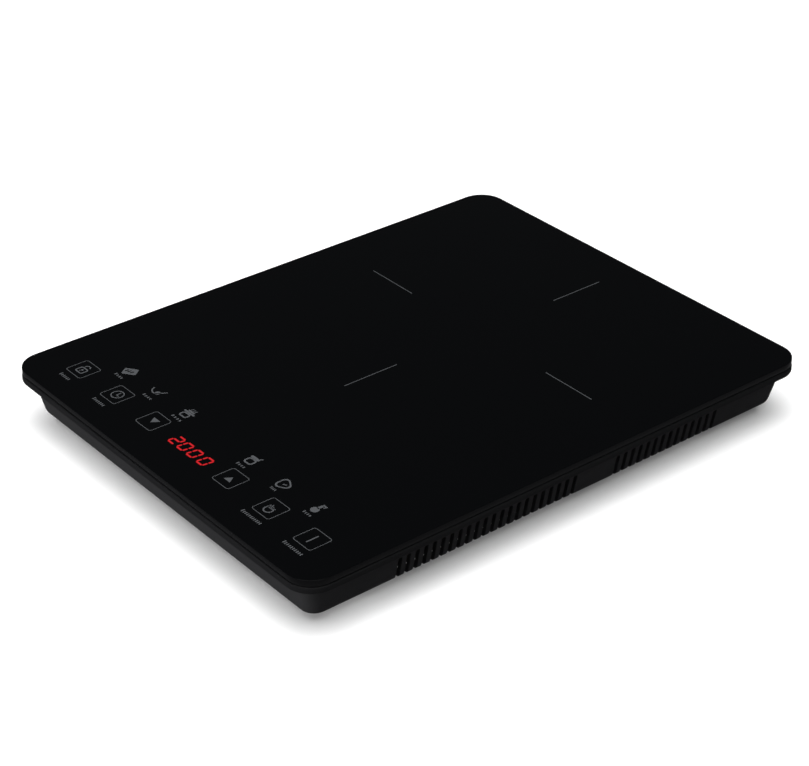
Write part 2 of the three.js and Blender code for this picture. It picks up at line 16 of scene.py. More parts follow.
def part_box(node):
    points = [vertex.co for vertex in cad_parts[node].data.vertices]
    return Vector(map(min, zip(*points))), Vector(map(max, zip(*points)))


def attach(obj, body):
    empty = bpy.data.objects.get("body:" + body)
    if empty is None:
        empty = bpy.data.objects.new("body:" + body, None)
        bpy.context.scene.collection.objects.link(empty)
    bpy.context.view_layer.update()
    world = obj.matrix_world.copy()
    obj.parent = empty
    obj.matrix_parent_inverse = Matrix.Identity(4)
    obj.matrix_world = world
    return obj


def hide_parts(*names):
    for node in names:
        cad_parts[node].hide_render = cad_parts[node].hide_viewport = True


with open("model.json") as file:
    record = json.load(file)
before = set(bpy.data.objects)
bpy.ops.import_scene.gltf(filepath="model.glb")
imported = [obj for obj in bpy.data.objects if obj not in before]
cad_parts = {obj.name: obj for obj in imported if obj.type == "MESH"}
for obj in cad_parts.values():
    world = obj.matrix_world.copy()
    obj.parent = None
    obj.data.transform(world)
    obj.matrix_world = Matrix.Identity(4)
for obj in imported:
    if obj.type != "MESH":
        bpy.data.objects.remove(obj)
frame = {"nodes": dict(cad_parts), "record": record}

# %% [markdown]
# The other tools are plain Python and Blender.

MM = 0.001  # pieces are drawn in millimetres and brought to metres when they are finished
scene = bpy.context.scene
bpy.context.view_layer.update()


def box_mm(node):
    """The lowest and highest corner of a CAD node, in millimetres."""
    low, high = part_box(node)
    return low / MM, high / MM


# %% [markdown]
# ## The camera
# A long lens from above the front right corner keeps the long edges nearly parallel, the way a
# catalogue picture does. The camera comes first, because every later look is judged through it.

# %% Camera
GLASS_LOW, GLASS_HIGH = box_mm("glass_top")
glass_top_z = GLASS_HIGH.z
camera_data = bpy.data.cameras.new("catalogue_camera")
camera_data.lens = 99.5
camera_data.sensor_width = 36
camera = bpy.data.objects.new("catalogue_camera", camera_data)
camera.location = Vector((855.4, -694.0, glass_top_z + 643.3)) * MM
camera.rotation_euler = (math.radians(59.12), 0, math.radians(51.06))
scene.collection.objects.link(camera)
scene.camera = camera
print("camera stands", round((camera.location - Vector((0, 0, glass_top_z * MM))).length, 3), "m away")

# %% [markdown]
# ## Finishes
# Each finish is a Principled shader fed by procedural nodes. Effects that several finishes share are
# node groups: a moulded surface with its grain, a drawn metal, a woven sleeve and a printed circuit.
# A group gives back only colours, values and normals, and the shader stays in the material.


# %% A small helper for node trees
class Nodes:
    """Adds nodes to a tree in one line each and links sockets by name."""

    def __init__(self, tree):
        self.tree = tree

    def add(self, kind, settings=None, **inputs):
        node = self.tree.nodes.new(kind)
        for name, value in (settings or {}).items():
            setattr(node, name, value)
        for name, value in inputs.items():
            self.feed(node.inputs[name.replace("_", " ")], value)
        return node

    def feed(self, socket, value):
        if isinstance(value, bpy.types.NodeSocket):
            self.tree.links.new(value, socket)
        else:
            socket.default_value = value

    def math(self, operation, first, second=0.5):
        node = self.add("ShaderNodeMath", {"operation": operation})
        self.feed(node.inputs[0], first)
        self.feed(node.inputs[1], second)
        return node.outputs[0]

    def spread(self, value, low, high):
        """Maps 0..1 to low..high."""
        node = self.add("ShaderNodeMapRange", Value=value)
        self.feed(node.inputs["To Min"], low)
        self.feed(node.inputs["To Max"], high)
        return node.outputs[0]

    def blend(self, factor, first, second, mode="MIX"):
        node = self.add("ShaderNodeMix", {"data_type": "RGBA", "blend_type": mode})
        self.feed(node.inputs[0], factor)
        self.feed(node.inputs[6], first)
        self.feed(node.inputs[7], second)
        return node.outputs[2]

    def noise(self, scale, detail=2.0, vector=None):
        node = self.add("ShaderNodeTexNoise", Scale=scale, Detail=detail)
        self.feed(node.inputs["Vector"], vector or self.place())
        return node.outputs["Fac"]

    def place(self, stretch=(1, 1, 1)):
        """Object coordinates, which stay put on the piece, stretched along the axes."""
        coordinate = self.add("ShaderNodeTexCoord").outputs["Object"]
        return self.add("ShaderNodeMapping", Vector=coordinate, Scale=stretch).outputs[0]


def new_group(name, inputs, outputs):
    """An empty shader group with named float, colour and vector sockets."""
    group = bpy.data.node_groups.new(name, "ShaderNodeTree")
    kinds = {"value": "NodeSocketFloat", "colour": "NodeSocketColor", "vector": "NodeSocketVector"}
    for socket, kind in inputs.items():
        group.interface.new_socket(socket, in_out="INPUT", socket_type=kinds[kind])
    for socket, kind in outputs.items():
        group.interface.new_socket(socket, in_out="OUTPUT", socket_type=kinds[kind])
    nodes = Nodes(group)
    return group, nodes, nodes.add("NodeGroupInput"), nodes.add("NodeGroupOutput")


# %% [markdown]
# ### Moulded surface
# Plastic, rubber and ceramic come out of a mould with a fine spark-eroded grain, slow drifts in
# shade where the melt flowed, and patches that are a little glossier. Three noises at three scales
# give those, and a thin film of dust settles where a face looks up.

# %% The moulded surface group
SURFACE_OUT = {"Colour": "colour", "Roughness": "value", "Normal": "vector"}
moulded_group, n, gi, go = new_group(
    "moulded_surface",
    {"Colour": "colour", "Drift": "value", "Roughness": "value", "Grain Scale": "value",
     "Grain Depth": "value", "Dust": "value"},
    SURFACE_OUT,
)
grain = n.noise(gi.outputs["Grain Scale"], 3.0)
drift = n.noise(22.0, 2.0)
polish = n.noise(70.0, 3.0)
low = n.math("SUBTRACT", 1.0, gi.outputs["Drift"])
high = n.math("ADD", 1.0, gi.outputs["Drift"])
tone = n.add("ShaderNodeHueSaturation", Color=gi.outputs["Colour"], Value=n.spread(drift, low, high))
upward = n.add("ShaderNodeSeparateXYZ", Vector=n.add("ShaderNodeNewGeometry").outputs["Normal"])
specks = n.spread(n.noise(260.0, 4.0), -0.6, 1.0)
settled = n.math("MULTIPLY", n.math("MAXIMUM", upward.outputs["Z"], 0.0), n.math("MAXIMUM", specks, 0.0))
dust = n.math("MULTIPLY", settled, gi.outputs["Dust"])
n.feed(go.inputs["Colour"], n.blend(dust, tone.outputs[0], (0.42, 0.41, 0.39, 1)))
rough = n.math("ADD", gi.outputs["Roughness"], n.spread(polish, -0.07, 0.07))
n.feed(go.inputs["Roughness"], n.math("ADD", rough, n.math("MULTIPLY", dust, 0.3)))
bump = n.add("ShaderNodeBump", Strength=1.0, Height=grain, Distance=gi.outputs["Grain Depth"])
n.feed(go.inputs["Normal"], bump.outputs[0])

# %% [markdown]
# ### Drawn metal
# Sheet, wire and extrusions carry fine lines along the direction they were drawn in. A noise that is
# stretched a hundred times along one axis gives the lines, and a soft one gives handling marks.

# %% The drawn metal group
metal_group, n, gi, go = new_group(
    "drawn_metal",
    {"Colour": "colour", "Roughness": "value", "Line Depth": "value", "Stretch": "vector"},
    SURFACE_OUT,
)
coordinate = n.add("ShaderNodeTexCoord").outputs["Object"]
along = n.add("ShaderNodeMapping", Vector=coordinate, Scale=gi.outputs["Stretch"]).outputs[0]
lines = n.noise(30.0, 6.0, along)
marks = n.noise(140.0, 3.0)
tone = n.add("ShaderNodeHueSaturation", Color=gi.outputs["Colour"], Value=n.spread(lines, 0.82, 1.18))
n.feed(go.inputs["Colour"], n.blend(n.spread(marks, 0.0, 0.25), tone.outputs[0], gi.outputs["Colour"]))
rough = n.math("ADD", gi.outputs["Roughness"], n.spread(lines, -0.08, 0.1))
n.feed(go.inputs["Roughness"], n.math("ADD", rough, n.spread(marks, -0.06, 0.1)))
bump = n.add("ShaderNodeBump", Strength=1.0, Height=lines, Distance=gi.outputs["Line Depth"])
n.feed(go.inputs["Normal"], bump.outputs[0])

# %% [markdown]
# ### Woven sleeve and wound wire
# The coil leads wear a braided glass sleeve, and the coil itself is litz: thin strands twisted
# together. Two crossing wave textures give the braid, and one slanting wave gives the twist. The
# grooves between strands are painted darker, as painted shade.

# %% The woven and twisted groups
strand_group, n, gi, go = new_group(
    "strands",
    {"Colour": "colour", "Shade": "colour", "Pitch": "value", "Crossing": "value", "Depth": "value"},
    {"Colour": "colour", "Normal": "vector"},
)
waves = []
for turn in (0.7, -0.7):
    coordinate = n.add("ShaderNodeTexCoord").outputs["Object"]
    slanted = n.add("ShaderNodeMapping", Vector=coordinate, Rotation=(turn, turn, turn)).outputs[0]
    wave = n.add("ShaderNodeTexWave", Scale=gi.outputs["Pitch"], Distortion=0.6, Vector=slanted)
    waves.append(wave.outputs["Fac"])
crossed = n.math("MULTIPLY", waves[1], gi.outputs["Crossing"])
height = n.math("MAXIMUM", waves[0], crossed)
# The low parts of the weave take the Shade colour: painted shade in the grooves between strands.
n.feed(go.inputs["Colour"], n.blend(height, gi.outputs["Shade"], gi.outputs["Colour"]))
bump = n.add("ShaderNodeBump", Strength=0.8, Height=height, Distance=gi.outputs["Depth"])
n.feed(go.inputs["Normal"], bump.outputs[0])

# %% [markdown]
# ### Printed circuit
# Under its solder mask a board shows raised copper tracks. A chebychev voronoi laid out in squares
# reads as tracks and pads: the distance to a cell's edge is the gap between two of them.

# %% The printed circuit group
circuit_group, n, gi, go = new_group(
    "printed_circuit",
    {"Mask": "colour", "Track": "colour", "Track Scale": "value"},
    SURFACE_OUT,
)
cells = n.add("ShaderNodeTexVoronoi", {"distance": "CHEBYCHEV"}, Scale=gi.outputs["Track Scale"],
              Vector=n.place((1, 1, 0.01)), Randomness=0.85)
gap = n.math("GREATER_THAN", cells.outputs["Distance"], 0.36)
weave = n.noise(1400.0, 2.0)
tracks = n.blend(gap, gi.outputs["Track"], gi.outputs["Mask"])
n.feed(go.inputs["Colour"], n.blend(n.spread(weave, 0.0, 0.2), tracks, gi.outputs["Mask"]))
n.feed(go.inputs["Roughness"], n.spread(weave, 0.28, 0.46))
bump = n.add("ShaderNodeBump", Strength=0.6, Height=gap, Distance=0.0001)
n.feed(go.inputs["Normal"], bump.outputs[0])
print("node groups:", [g.name for g in bpy.data.node_groups])

# %% [markdown]
# ### From groups to materials
# Each finish below is one call with its own values: the colour comes from the CAD record where the
# record names it, so the parts list and the picture agree.


# %% Makers of materials
RECORD_COLOURS = {m["slot"]: m["base_color"] for m in frame["record"]["materials"]}
FINISHES = {}


def colour_of(slot):
    return (*RECORD_COLOURS[slot][:3], 1.0)


def blank(slot):
    """A new node material and its shader, kept under its slot's name."""
    material = bpy.data.materials.new(slot)
    material.use_nodes = True
    FINISHES[slot] = material
    return Nodes(material.node_tree), material.node_tree.nodes["Principled BSDF"]


def with_group(slot, group, **values):
    """A finish whose colour, roughness and normal come from one group."""
    n, shader = blank(slot)
    node = n.add("ShaderNodeGroup", {"node_tree": group})
    for name, value in values.items():
        node.inputs[name.replace("_", " ")].default_value = value
    targets = {"Colour": "Base Color", "Roughness": "Roughness", "Normal": "Normal"}
    for output in node.outputs:
        n.feed(shader.inputs[targets[output.name]], output)
    return shader


def moulded(slot, roughness, drift=0.08, scale=900.0, depth=0.00003, dust=0.0):
    return with_group(slot, moulded_group, Colour=colour_of(slot), Drift=drift, Roughness=roughness,
                      Grain_Scale=scale, Grain_Depth=depth, Dust=dust)


def drawn(slot, roughness, depth=0.00001, stretch=(1, 40, 40)):
    shader = with_group(slot, metal_group, Colour=colour_of(slot), Roughness=roughness,
                        Line_Depth=depth, Stretch=stretch)
    shader.inputs["Metallic"].default_value = 1.0
    return shader


# %% [markdown]
# The case is a dark grey moulding with a fine satin grain. The feet, grommet and seal are rubber,
# which is rougher and darker. Inner mouldings differ mostly in gloss.

# %% Plastics, rubber and ceramics
moulded("case_plastic", 0.46, 0.05, 1500.0, 0.000035)
frame_shader = moulded("frame_plastic", 0.48, 0.04, 1500.0, 0.000012)
frame_shader.inputs["Specular IOR Level"].default_value = 0.3
moulded("bond_silicone", 0.7, 0.1, 600.0, 0.00002)
moulded("foot_rubber", 0.78, 0.12, 1100.0, 0.00006, 0.06)
moulded("fan_plastic", 0.42, 0.06, 1200.0, 0.00002, 0.05)
moulded("carrier_plastic", 0.5, 0.08, 1000.0, 0.00003)
moulded("ferrite", 0.62, 0.14, 1800.0, 0.00005)
moulded("ceramic_white", 0.55, 0.04, 1300.0, 0.00003)
moulded("black_epoxy", 0.36, 0.05, 1600.0, 0.00002)
moulded("film_capacitor_case", 0.3, 0.06, 700.0, 0.00001)
moulded("transformer_tape", 0.28, 0.08, 300.0, 0.00002)
moulded("capacitor_sleeve", 0.25, 0.05, 500.0, 0.00001)
moulded("ribbon_insulation", 0.4, 0.06, 800.0, 0.00001)
moulded("display_plastic", 0.5, 0.05, 900.0, 0.00002)
moulded("white_guide", 0.3, 0.03, 900.0, 0.00001)
mica_shader = moulded("mica", 0.4, 0.2, 160.0, 0.00008)
mica_shader.inputs["Coat Weight"].default_value = 0.3
print("moulded finishes:", len(FINISHES))

# %% [markdown]
# Screws and springs are zinc plated, the heat sink is a plain extrusion, and the stator is lacquered.
# Copper is warm and fairly glossy under its enamel, so it gets a clear coat.

# %% Metals and wire
drawn("zinc_steel", 0.3)
drawn("heat_sink_aluminium", 0.38, 0.00002, (1, 60, 60))
drawn("motor_steel", 0.45, 0.00003, (20, 20, 90))


def stranded(slot, shade, pitch, crossing, depth, roughness):
    shader = with_group(slot, strand_group, Colour=colour_of(slot), Shade=shade, Pitch=pitch,
                        Crossing=crossing, Depth=depth)
    shader.inputs["Roughness"].default_value = roughness
    return shader


# The dark Shade colours below are painted shade for the grooves of the wire and of the sleeve.
for slot in ("coil_copper", "choke_winding"):
    wire_shader = stranded(slot, (0.2, 0.05, 0.02, 1), 420.0, 0.25, 0.0002, 0.32)
    wire_shader.inputs["Metallic"].default_value = 0.85
    wire_shader.inputs["Coat Weight"].default_value = 0.5
stranded("lead_sleeve", (0.42, 0.4, 0.35, 1), 300.0, 1.0, 0.0002, 0.8)

# %% [markdown]
# The power board is bare tan laminate on its upper side, and the touch board is masked green.

# %% Boards
with_group("power_board_laminate", circuit_group, Mask=colour_of("power_board_laminate"),
           Track=(0.3, 0.19, 0.07, 1), Track_Scale=180.0)
with_group("green_board", circuit_group, Mask=colour_of("green_board"),
           Track=(0.02, 0.17, 0.06, 1), Track_Scale=320.0)

# %% [markdown]
# ### Black glass-ceramic
# The plate is dyed through, so light never comes back out of it: a near black base under a polished
# surface. What tells the eye that it is glass is the reflection, so the roughness drifts slightly
# where a cloth has wiped it, and a very faint long wave bends the reflections.

# %% Glass
n, glass_shader = blank("black_glass")
wiped = n.noise(9.0, 4.0, n.place((1, 3, 1)))
flecks = n.math("GREATER_THAN", n.noise(3800.0, 2.0), 0.74)
n.feed(glass_shader.inputs["Base Color"],
       n.blend(n.math("MULTIPLY", flecks, 0.35), (0.0012, 0.0013, 0.0015, 1), (0.006, 0.0065, 0.007, 1)))
n.feed(glass_shader.inputs["Roughness"], n.spread(wiped, 0.035, 0.11))
ripple = n.add("ShaderNodeBump", Strength=0.12, Height=n.noise(12.0, 1.0), Distance=0.0002)
n.feed(glass_shader.inputs["Normal"], ripple.outputs[0])
glass_shader.inputs["IOR"].default_value = 1.52

# %% [markdown]
# ### Fired print and display light
# The marks are enamel screened on the glass and fired. Screen print is never quite even, so a fine
# noise thins it here and there. The display shines through the dyed glass, which passes only red.

# %% Print and display
n, print_shader = blank("panel_print")
screen = n.noise(2600.0, 3.0)
n.feed(print_shader.inputs["Base Color"],
       n.blend(n.spread(screen, 0.0, 0.7), colour_of("panel_print"), (0.045, 0.048, 0.052, 1)))
n.feed(print_shader.inputs["Roughness"], n.spread(screen, 0.3, 0.5))


def glowing(name, colour, strength):
    """A light seen through dyed glass; its brightness varies a little from place to place."""
    n, shader = blank(name)
    uneven = n.spread(n.noise(700.0, 2.0), 0.8, 1.15)
    n.feed(shader.inputs["Emission Color"], n.blend(uneven, (0, 0, 0, 1), colour))
    shader.inputs["Emission Strength"].default_value = strength
    n.feed(shader.inputs["Base Color"], n.blend(uneven, (0.02, 0, 0, 1), (0.05, 0.002, 0.002, 1)))
    shader.inputs["Roughness"].default_value = 0.2
    return shader


glowing("display_light", (1.0, 0.012, 0.022, 1), 0.45)
glowing("display_core", (1.0, 0.04, 0.05, 1), 0.62)
print("finishes:", sorted(FINISHES))

# %% [markdown]
# ## Shaping tools
# Four small helpers draw nearly everything: a rounded rectangle swept through levels, a plain bar, an
# upright drum and a body spun round an axis. Each adds a closed shell to a bmesh.


# %% A rounded rectangle swept through levels
def sweep_outline(bm, size, levels, arc=10, ring=False, centre=(0, 0)):
    """Sweeps a rounded rectangle through levels of (inset, corner radius, height), bottom to top.
    Both ends are capped, or with ring=True the last level closes back on the first."""
    half = Vector(size) / 2
    inset, radius, height = levels[0]
    square = bmesh.ops.create_grid(bm, x_segments=1, y_segments=1, size=1)["verts"]
    for vert in square:
        vert.co = Vector((vert.co.x * (half.x - inset), vert.co.y * (half.y - inset), height))
    face = square[0].link_faces[0]
    made = bmesh.ops.bevel(bm, geom=square, offset=radius, segments=arc, profile=0.5,
                           affect="VERTICES", material=-1, clamp_overlap=False)
    face = max(set(f for v in made["verts"] for f in v.link_faces), key=lambda f: len(f.verts))
    loop = list(face.edges)
    shell = set(face.verts)
    if ring:
        bmesh.ops.delete(bm, geom=[face], context="FACES_ONLY")
    for next_inset, next_radius, next_height in levels[1:]:
        extruded = bmesh.ops.extrude_edge_only(bm, edges=loop)["geom"]
        fresh = {g for g in extruded if isinstance(g, bmesh.types.BMVert)}
        loop = [g for g in extruded if isinstance(g, bmesh.types.BMEdge) and set(g.verts) <= fresh]
        for vert in fresh:
            for axis in (0, 1):
                side = math.copysign(1, vert.co[axis])
                bend = (vert.co[axis] - side * (half[axis] - inset - radius)) / radius
                vert.co[axis] = side * (half[axis] - next_inset - next_radius) + bend * next_radius
            vert.co.z = next_height
        shell |= fresh
        inset, radius = next_inset, next_radius
    if ring:
        bmesh.ops.remove_doubles(bm, verts=list(shell), dist=0.001)
    else:
        bmesh.ops.contextual_create(bm, geom=loop)
    alive = [v for v in shell if v.is_valid]
    bmesh.ops.translate(bm, verts=alive, vec=(*centre, 0))
    return alive


# %% Bars, drums and spun bodies
def bar(bm, size, centre, turn=0.0, soft=0.0, soft_axis=2, segments=4):
    """A box, by its size and centre, turned about Z. soft rounds the edges along soft_axis."""
    verts = bmesh.ops.create_cube(bm, size=1)["verts"]
    bmesh.ops.scale(bm, vec=size, verts=verts)
    if soft:
        edges = {e for v in verts for e in v.link_edges}
        along = [e for e in edges if abs((e.verts[0].co - e.verts[1].co)[soft_axis]) > 1e-6]
        rounded = bmesh.ops.bevel(bm, geom=along, offset=soft, segments=segments, profile=0.5,
                                  affect="EDGES", material=-1, clamp_overlap=False)
        verts = list({v for f in rounded["faces"] for v in f.verts})
    bmesh.ops.rotate(bm, verts=verts, cent=(0, 0, 0), matrix=Matrix.Rotation(turn, 3, "Z"))
    bmesh.ops.translate(bm, verts=verts, vec=centre)
    return verts


def drum(bm, radius, low, high, centre, segments=32, top_radius=None):
    """An upright cylinder or cone from height low to height high."""
    return bmesh.ops.create_cone(
        bm, cap_ends=True, segments=segments, radius1=radius, radius2=top_radius or radius,
        depth=high - low, matrix=Matrix.Translation((*centre, (low + high) / 2)),
    )["verts"]


def spun(bm, profile, centre, axis="Z", segments=48):
    """A body of revolution: profile is (radius, height) pairs, and radius 0 lies on the axis."""
    before = set(bm.verts)
    points = [bm.verts.new((r, 0, h)) for r, h in profile]
    for a, b in zip(points, points[1:]):
        bm.edges.new((a, b))
    edges = list({e for p in points for e in p.link_edges})
    bmesh.ops.spin(bm, geom=points + edges, cent=(0, 0, 0), axis=(0, 0, 1), angle=math.tau,
                   steps=segments, use_merge=True)
    verts = [v for v in bm.verts if v not in before]
    bmesh.ops.remove_doubles(bm, verts=verts, dist=0.0005)
    verts = [v for v in bm.verts if v not in before]
    if axis == "Y":
        bmesh.ops.rotate(bm, verts=verts, cent=(0, 0, 0), matrix=Matrix.Rotation(-math.pi / 2, 3, "X"))
    bmesh.ops.translate(bm, verts=verts, vec=centre)
    return verts


def quarter(radius, steps=4):
    """A quarter round: (how far in, how far up) from the side face to the top face."""
    turns = [math.pi / 2 * i / steps for i in range(steps + 1)]
    return [(radius * (1 - math.cos(t)), radius * math.sin(t)) for t in turns]


# %% [markdown]
# Holes and slots are cut with Blender's exact boolean. The work is done on two throwaway objects and
# the result comes back as a bmesh, so the piece is left with a plain mesh and no live modifier.


# %% Booleans, and how a piece is finished
def carved(base, *steps):
    """Joins or cuts closed bmeshes: steps are ("UNION" or "DIFFERENCE", bmesh) pairs."""
    work = temporary(base)
    for operation, tool_mesh in steps:
        tool = temporary(tool_mesh)
        modifier = work.modifiers.new("carve", "BOOLEAN")
        modifier.operation, modifier.solver, modifier.object = operation, "EXACT", tool
        graph = bpy.context.evaluated_depsgraph_get()
        work_mesh = bpy.data.meshes.new_from_object(work.evaluated_get(graph), depsgraph=graph)
        work.modifiers.clear()
        work.data = work_mesh
        bpy.data.objects.remove(tool)
    result = bmesh.new()
    result.from_mesh(work.data)
    bpy.data.objects.remove(work)
    return result


def temporary(bm):
    mesh = bpy.data.meshes.new("work")
    bmesh.ops.recalc_face_normals(bm, faces=bm.faces)
    bm.to_mesh(mesh)
    bm.free()
    holder = bpy.data.objects.new("work", mesh)
    scene.collection.objects.link(holder)
    return holder


def finish_piece(name, bm, slot, stands_for=(), body="housing", finish=None, crease=32):
    """Turns a bmesh drawn in millimetres into a piece that rides on a CAD body."""
    bmesh.ops.recalc_face_normals(bm, faces=bm.faces)
    bmesh.ops.scale(bm, vec=(MM, MM, MM), verts=bm.verts)
    mesh = bpy.data.meshes.new(name)
    bm.to_mesh(mesh)
    bm.free()
    mesh.shade_smooth()
    mesh.set_sharp_from_angle(angle=math.radians(crease))
    piece = bpy.data.objects.new(name, mesh)
    scene.collection.objects.link(piece)
    mesh.materials.append(FINISHES[finish or slot])
    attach(piece, body)
    if stands_for:
        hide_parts(*stands_for)
    print(f"{name}: {len(mesh.polygons)} faces")
    return piece


# %% [markdown]
# ## The glass plate
# The real plate is cut, its corners ground round, and its upper edge eased just enough not to
# cut a hand. The outline is swept through levels that follow that edge.

# %% Glass plate
plate_size = (GLASS_HIGH.x - GLASS_LOW.x, GLASS_HIGH.y - GLASS_LOW.y)
PLATE_CORNER = 15.7
EDGE_ROUND = 0.2
under_edge = [(EDGE_ROUND * 0.6 - inward * 0.6, GLASS_LOW.z + upward * 0.6)
              for inward, upward in [(0, 0), (EDGE_ROUND * 0.6, EDGE_ROUND * 0.6), (EDGE_ROUND, EDGE_ROUND)]]
levels = [(inset, PLATE_CORNER - inset, z) for inset, z in under_edge]
levels += [(inward, PLATE_CORNER - inward, glass_top_z - EDGE_ROUND + upward)
           for inward, upward in quarter(EDGE_ROUND, 5)]
bm = bmesh.new()
sweep_outline(bm, plate_size, levels, arc=16)
finish_piece("glass_plate", bm, "black_glass", ["glass_top"], crease=50)

# %% [markdown]
# ## Lip frame
# The lip frame is a moulded ring: a rounded lip outside, a rebate that takes the bead of silicone,
# and a tongue that locates it in the case. Its section is one closed walk round those corners, and
# the six screw posts that hang from it are joined on and drilled.

# %% Lip frame
FRAME_LOW, FRAME_HIGH = box_mm("top_frame")
CASE_LOW, CASE_HIGH = box_mm("bottom_case")
SEAL_LOW = box_mm("glass_seal")[0]
ASSEMBLY_GAP = 0.3
OUTLINE = (FRAME_HIGH.x - FRAME_LOW.x, FRAME_HIGH.y - FRAME_LOW.y)
OUTLINE_CORNER = 16.0
LIP_ROUND = 0.8
LIP_TOP_ROUND = 0.9
REBATE_INSET = 4.5
FRAME_INNER, INNER_CORNER = 16, 6
TONGUE_INNER, TONGUE_OUTER, TONGUE_CORNER, TONGUE_H = 12.3, 10.3, 7, 3.2
POST_R, PILOT_R = 3.6, 1.5
lip_z = CASE_HIGH.z + ASSEMBLY_GAP
lip_top = FRAME_HIGH.z
ledge_z = SEAL_LOW.z - ASSEMBLY_GAP
tongue_z = lip_z - TONGUE_H
outside = [(LIP_ROUND, lip_z), (LIP_ROUND * 0.3, lip_z + LIP_ROUND * 0.3), (0, lip_z + LIP_ROUND)]
outside += [(inward, lip_top - LIP_TOP_ROUND + upward) for inward, upward in quarter(LIP_TOP_ROUND, 5)]
rebate = [(REBATE_INSET, lip_top), (REBATE_INSET, ledge_z)]
ring = [(inset, OUTLINE_CORNER - inset, z) for inset, z in outside + rebate]
ring += [(FRAME_INNER, INNER_CORNER, ledge_z), (FRAME_INNER, INNER_CORNER, lip_z),
         (TONGUE_INNER, INNER_CORNER, lip_z), (TONGUE_INNER, INNER_CORNER, tongue_z),
         (TONGUE_OUTER, TONGUE_CORNER, tongue_z), (TONGUE_OUTER, TONGUE_CORNER, lip_z), ring[0]]
bm = bmesh.new()
sweep_outline(bm, OUTLINE, ring, arc=14, ring=True)


def middle(node):
    low, high = box_mm(node)
    return (low + high) / 2


CASE_SCREWS = [f"case_screw_{side}_{i}" for side in ("left", "right") for i in (1, 2, 3)]
posts, pads, pilots = bmesh.new(), bmesh.new(), bmesh.new()
for node in CASE_SCREWS:
    x, y, _ = middle(node)
    drum(posts, POST_R, FRAME_LOW.z, lip_z + 1, (x, y), 28)
    bar(pads, (11, 9, 2.1), (x + math.copysign(1.4, x), y, lip_z + 1.25))
    drum(pilots, PILOT_R, FRAME_LOW.z - 1, FRAME_LOW.z + 8, (x, y), 20)
frame_mesh = carved(bm, ("UNION", posts), ("UNION", pads), ("DIFFERENCE", pilots))
finish_piece("lip_frame", frame_mesh, "frame_plastic", ["top_frame"])

# %% [markdown]
# ## Bottom case
# The case is a shallow tub. Its outer skin is swept from a rounded lower edge up a drafted wall; the
# same helper sweeps the cavity that is taken out of it. Slots down both side walls wrap round the
# lower edge, so each cutter is a bar that runs under the case as well.

# %% The tub and its bosses
CASE_CORNER = 8.0
BASE_INSET, TOP_INSET = 13.0, 6.8     # from the outline to the skin, at the base and under the lip
CAVITY_TOP_INSET = 8.7
FLOOR_T = 2.0
WALL_T = 2.2
floor_z = CASE_LOW.z + FLOOR_T


def curve_between(start, control, end, steps):
    """Points of a quadratic curve, for a soft lower edge."""
    ends = [Vector(start), Vector(control), Vector(end)]
    shares = [i / steps for i in range(steps + 1)]
    return [ends[0] * (1 - t) ** 2 + ends[1] * 2 * t * (1 - t) + ends[2] * t * t for t in shares]


lower_edge = curve_between((BASE_INSET, CASE_LOW.z), (10.9, CASE_LOW.z), (10.2, CASE_LOW.z + 4.0), 6)
skin = [(inset, CASE_CORNER, z) for inset, z in lower_edge]
skin += [(TOP_INSET, CASE_CORNER, CASE_HIGH.z - 0.3), (TOP_INSET + 0.3, CASE_CORNER, CASE_HIGH.z)]
bm = bmesh.new()
sweep_outline(bm, OUTLINE, skin, arc=14)
cavity = bmesh.new()
sweep_outline(cavity, OUTLINE, [(BASE_INSET, CASE_CORNER - WALL_T, floor_z),
                                (CAVITY_TOP_INSET, CASE_CORNER - WALL_T, CASE_HIGH.z + 1)], arc=8)

GLAND_LOW, GLAND_HIGH = box_mm("cord_gland")
gland = middle("cord_gland")
GLAND_PAD_R, GLAND_BORE_R = 8, 5.2
GLAND_PAD_INSIDE, GLAND_PAD_OUTSIDE = 164.6, 171
bosses, holes = bmesh.new(), bmesh.new()
pad = [(0, GLAND_PAD_INSIDE), (GLAND_PAD_R, GLAND_PAD_INSIDE), (GLAND_PAD_R, GLAND_PAD_OUTSIDE - 0.4),
       (GLAND_PAD_R - 0.4, GLAND_PAD_OUTSIDE), (0, GLAND_PAD_OUTSIDE)]
spun(bosses, pad, (gland.x, 0, gland.z), "Y", 40)
lead_hole = [(0, 150), (GLAND_BORE_R, 150), (GLAND_BORE_R, 190), (0, 190)]
spun(holes, lead_hole, (gland.x, 0, gland.z), "Y", 40)
for node in CASE_SCREWS:
    x, y, _ = middle(node)
    drum(bosses, 4.6, floor_z - 0.2, floor_z + 2.2, (x, y), 28)
    drum(holes, 1.8, CASE_LOW.z - 1, floor_z + 4, (x, y), 20)
seats = {"coil_screw_1": "coil_bracket", "coil_screw_2": "coil_bracket", "coil_screw_3": "coil_bracket",
         "board_screw_1": "power_board", "board_screw_2": "power_board",
         "fan_screw_1": "fan_frame", "fan_screw_2": "fan_frame"}
for node, seat in seats.items():
    x, y, _ = middle(node)
    top = box_mm(seat)[0].z - ASSEMBLY_GAP
    drum(bosses, 4.2, floor_z - 0.2, top, (x, y), 24, top_radius=3.5)
    drum(holes, 1.8, floor_z + 0.5, top + 1, (x, y), 16)
print("bosses under", len(seats), "inner screws")

# %% [markdown]
# The six case screws sit in counterbores, each foot has a spigot hole, and the fan breathes through
# a round grille of straight slots whose ends follow its circle.

# %% Counterbores, foot holes and the intake grille
wells = bmesh.new()
for node in CASE_SCREWS:
    x, y, _ = middle(node)
    drum(wells, 3.5, CASE_LOW.z - 1, CASE_LOW.z + 2.2, (x, y), 32)
FEET = ["foot_front_left", "foot_front_right", "foot_rear_left", "foot_rear_right"]
for node in FEET:
    x, y, _ = middle(node)
    drum(wells, 3.3, CASE_LOW.z - 1, floor_z + 3, (x, y), 28)

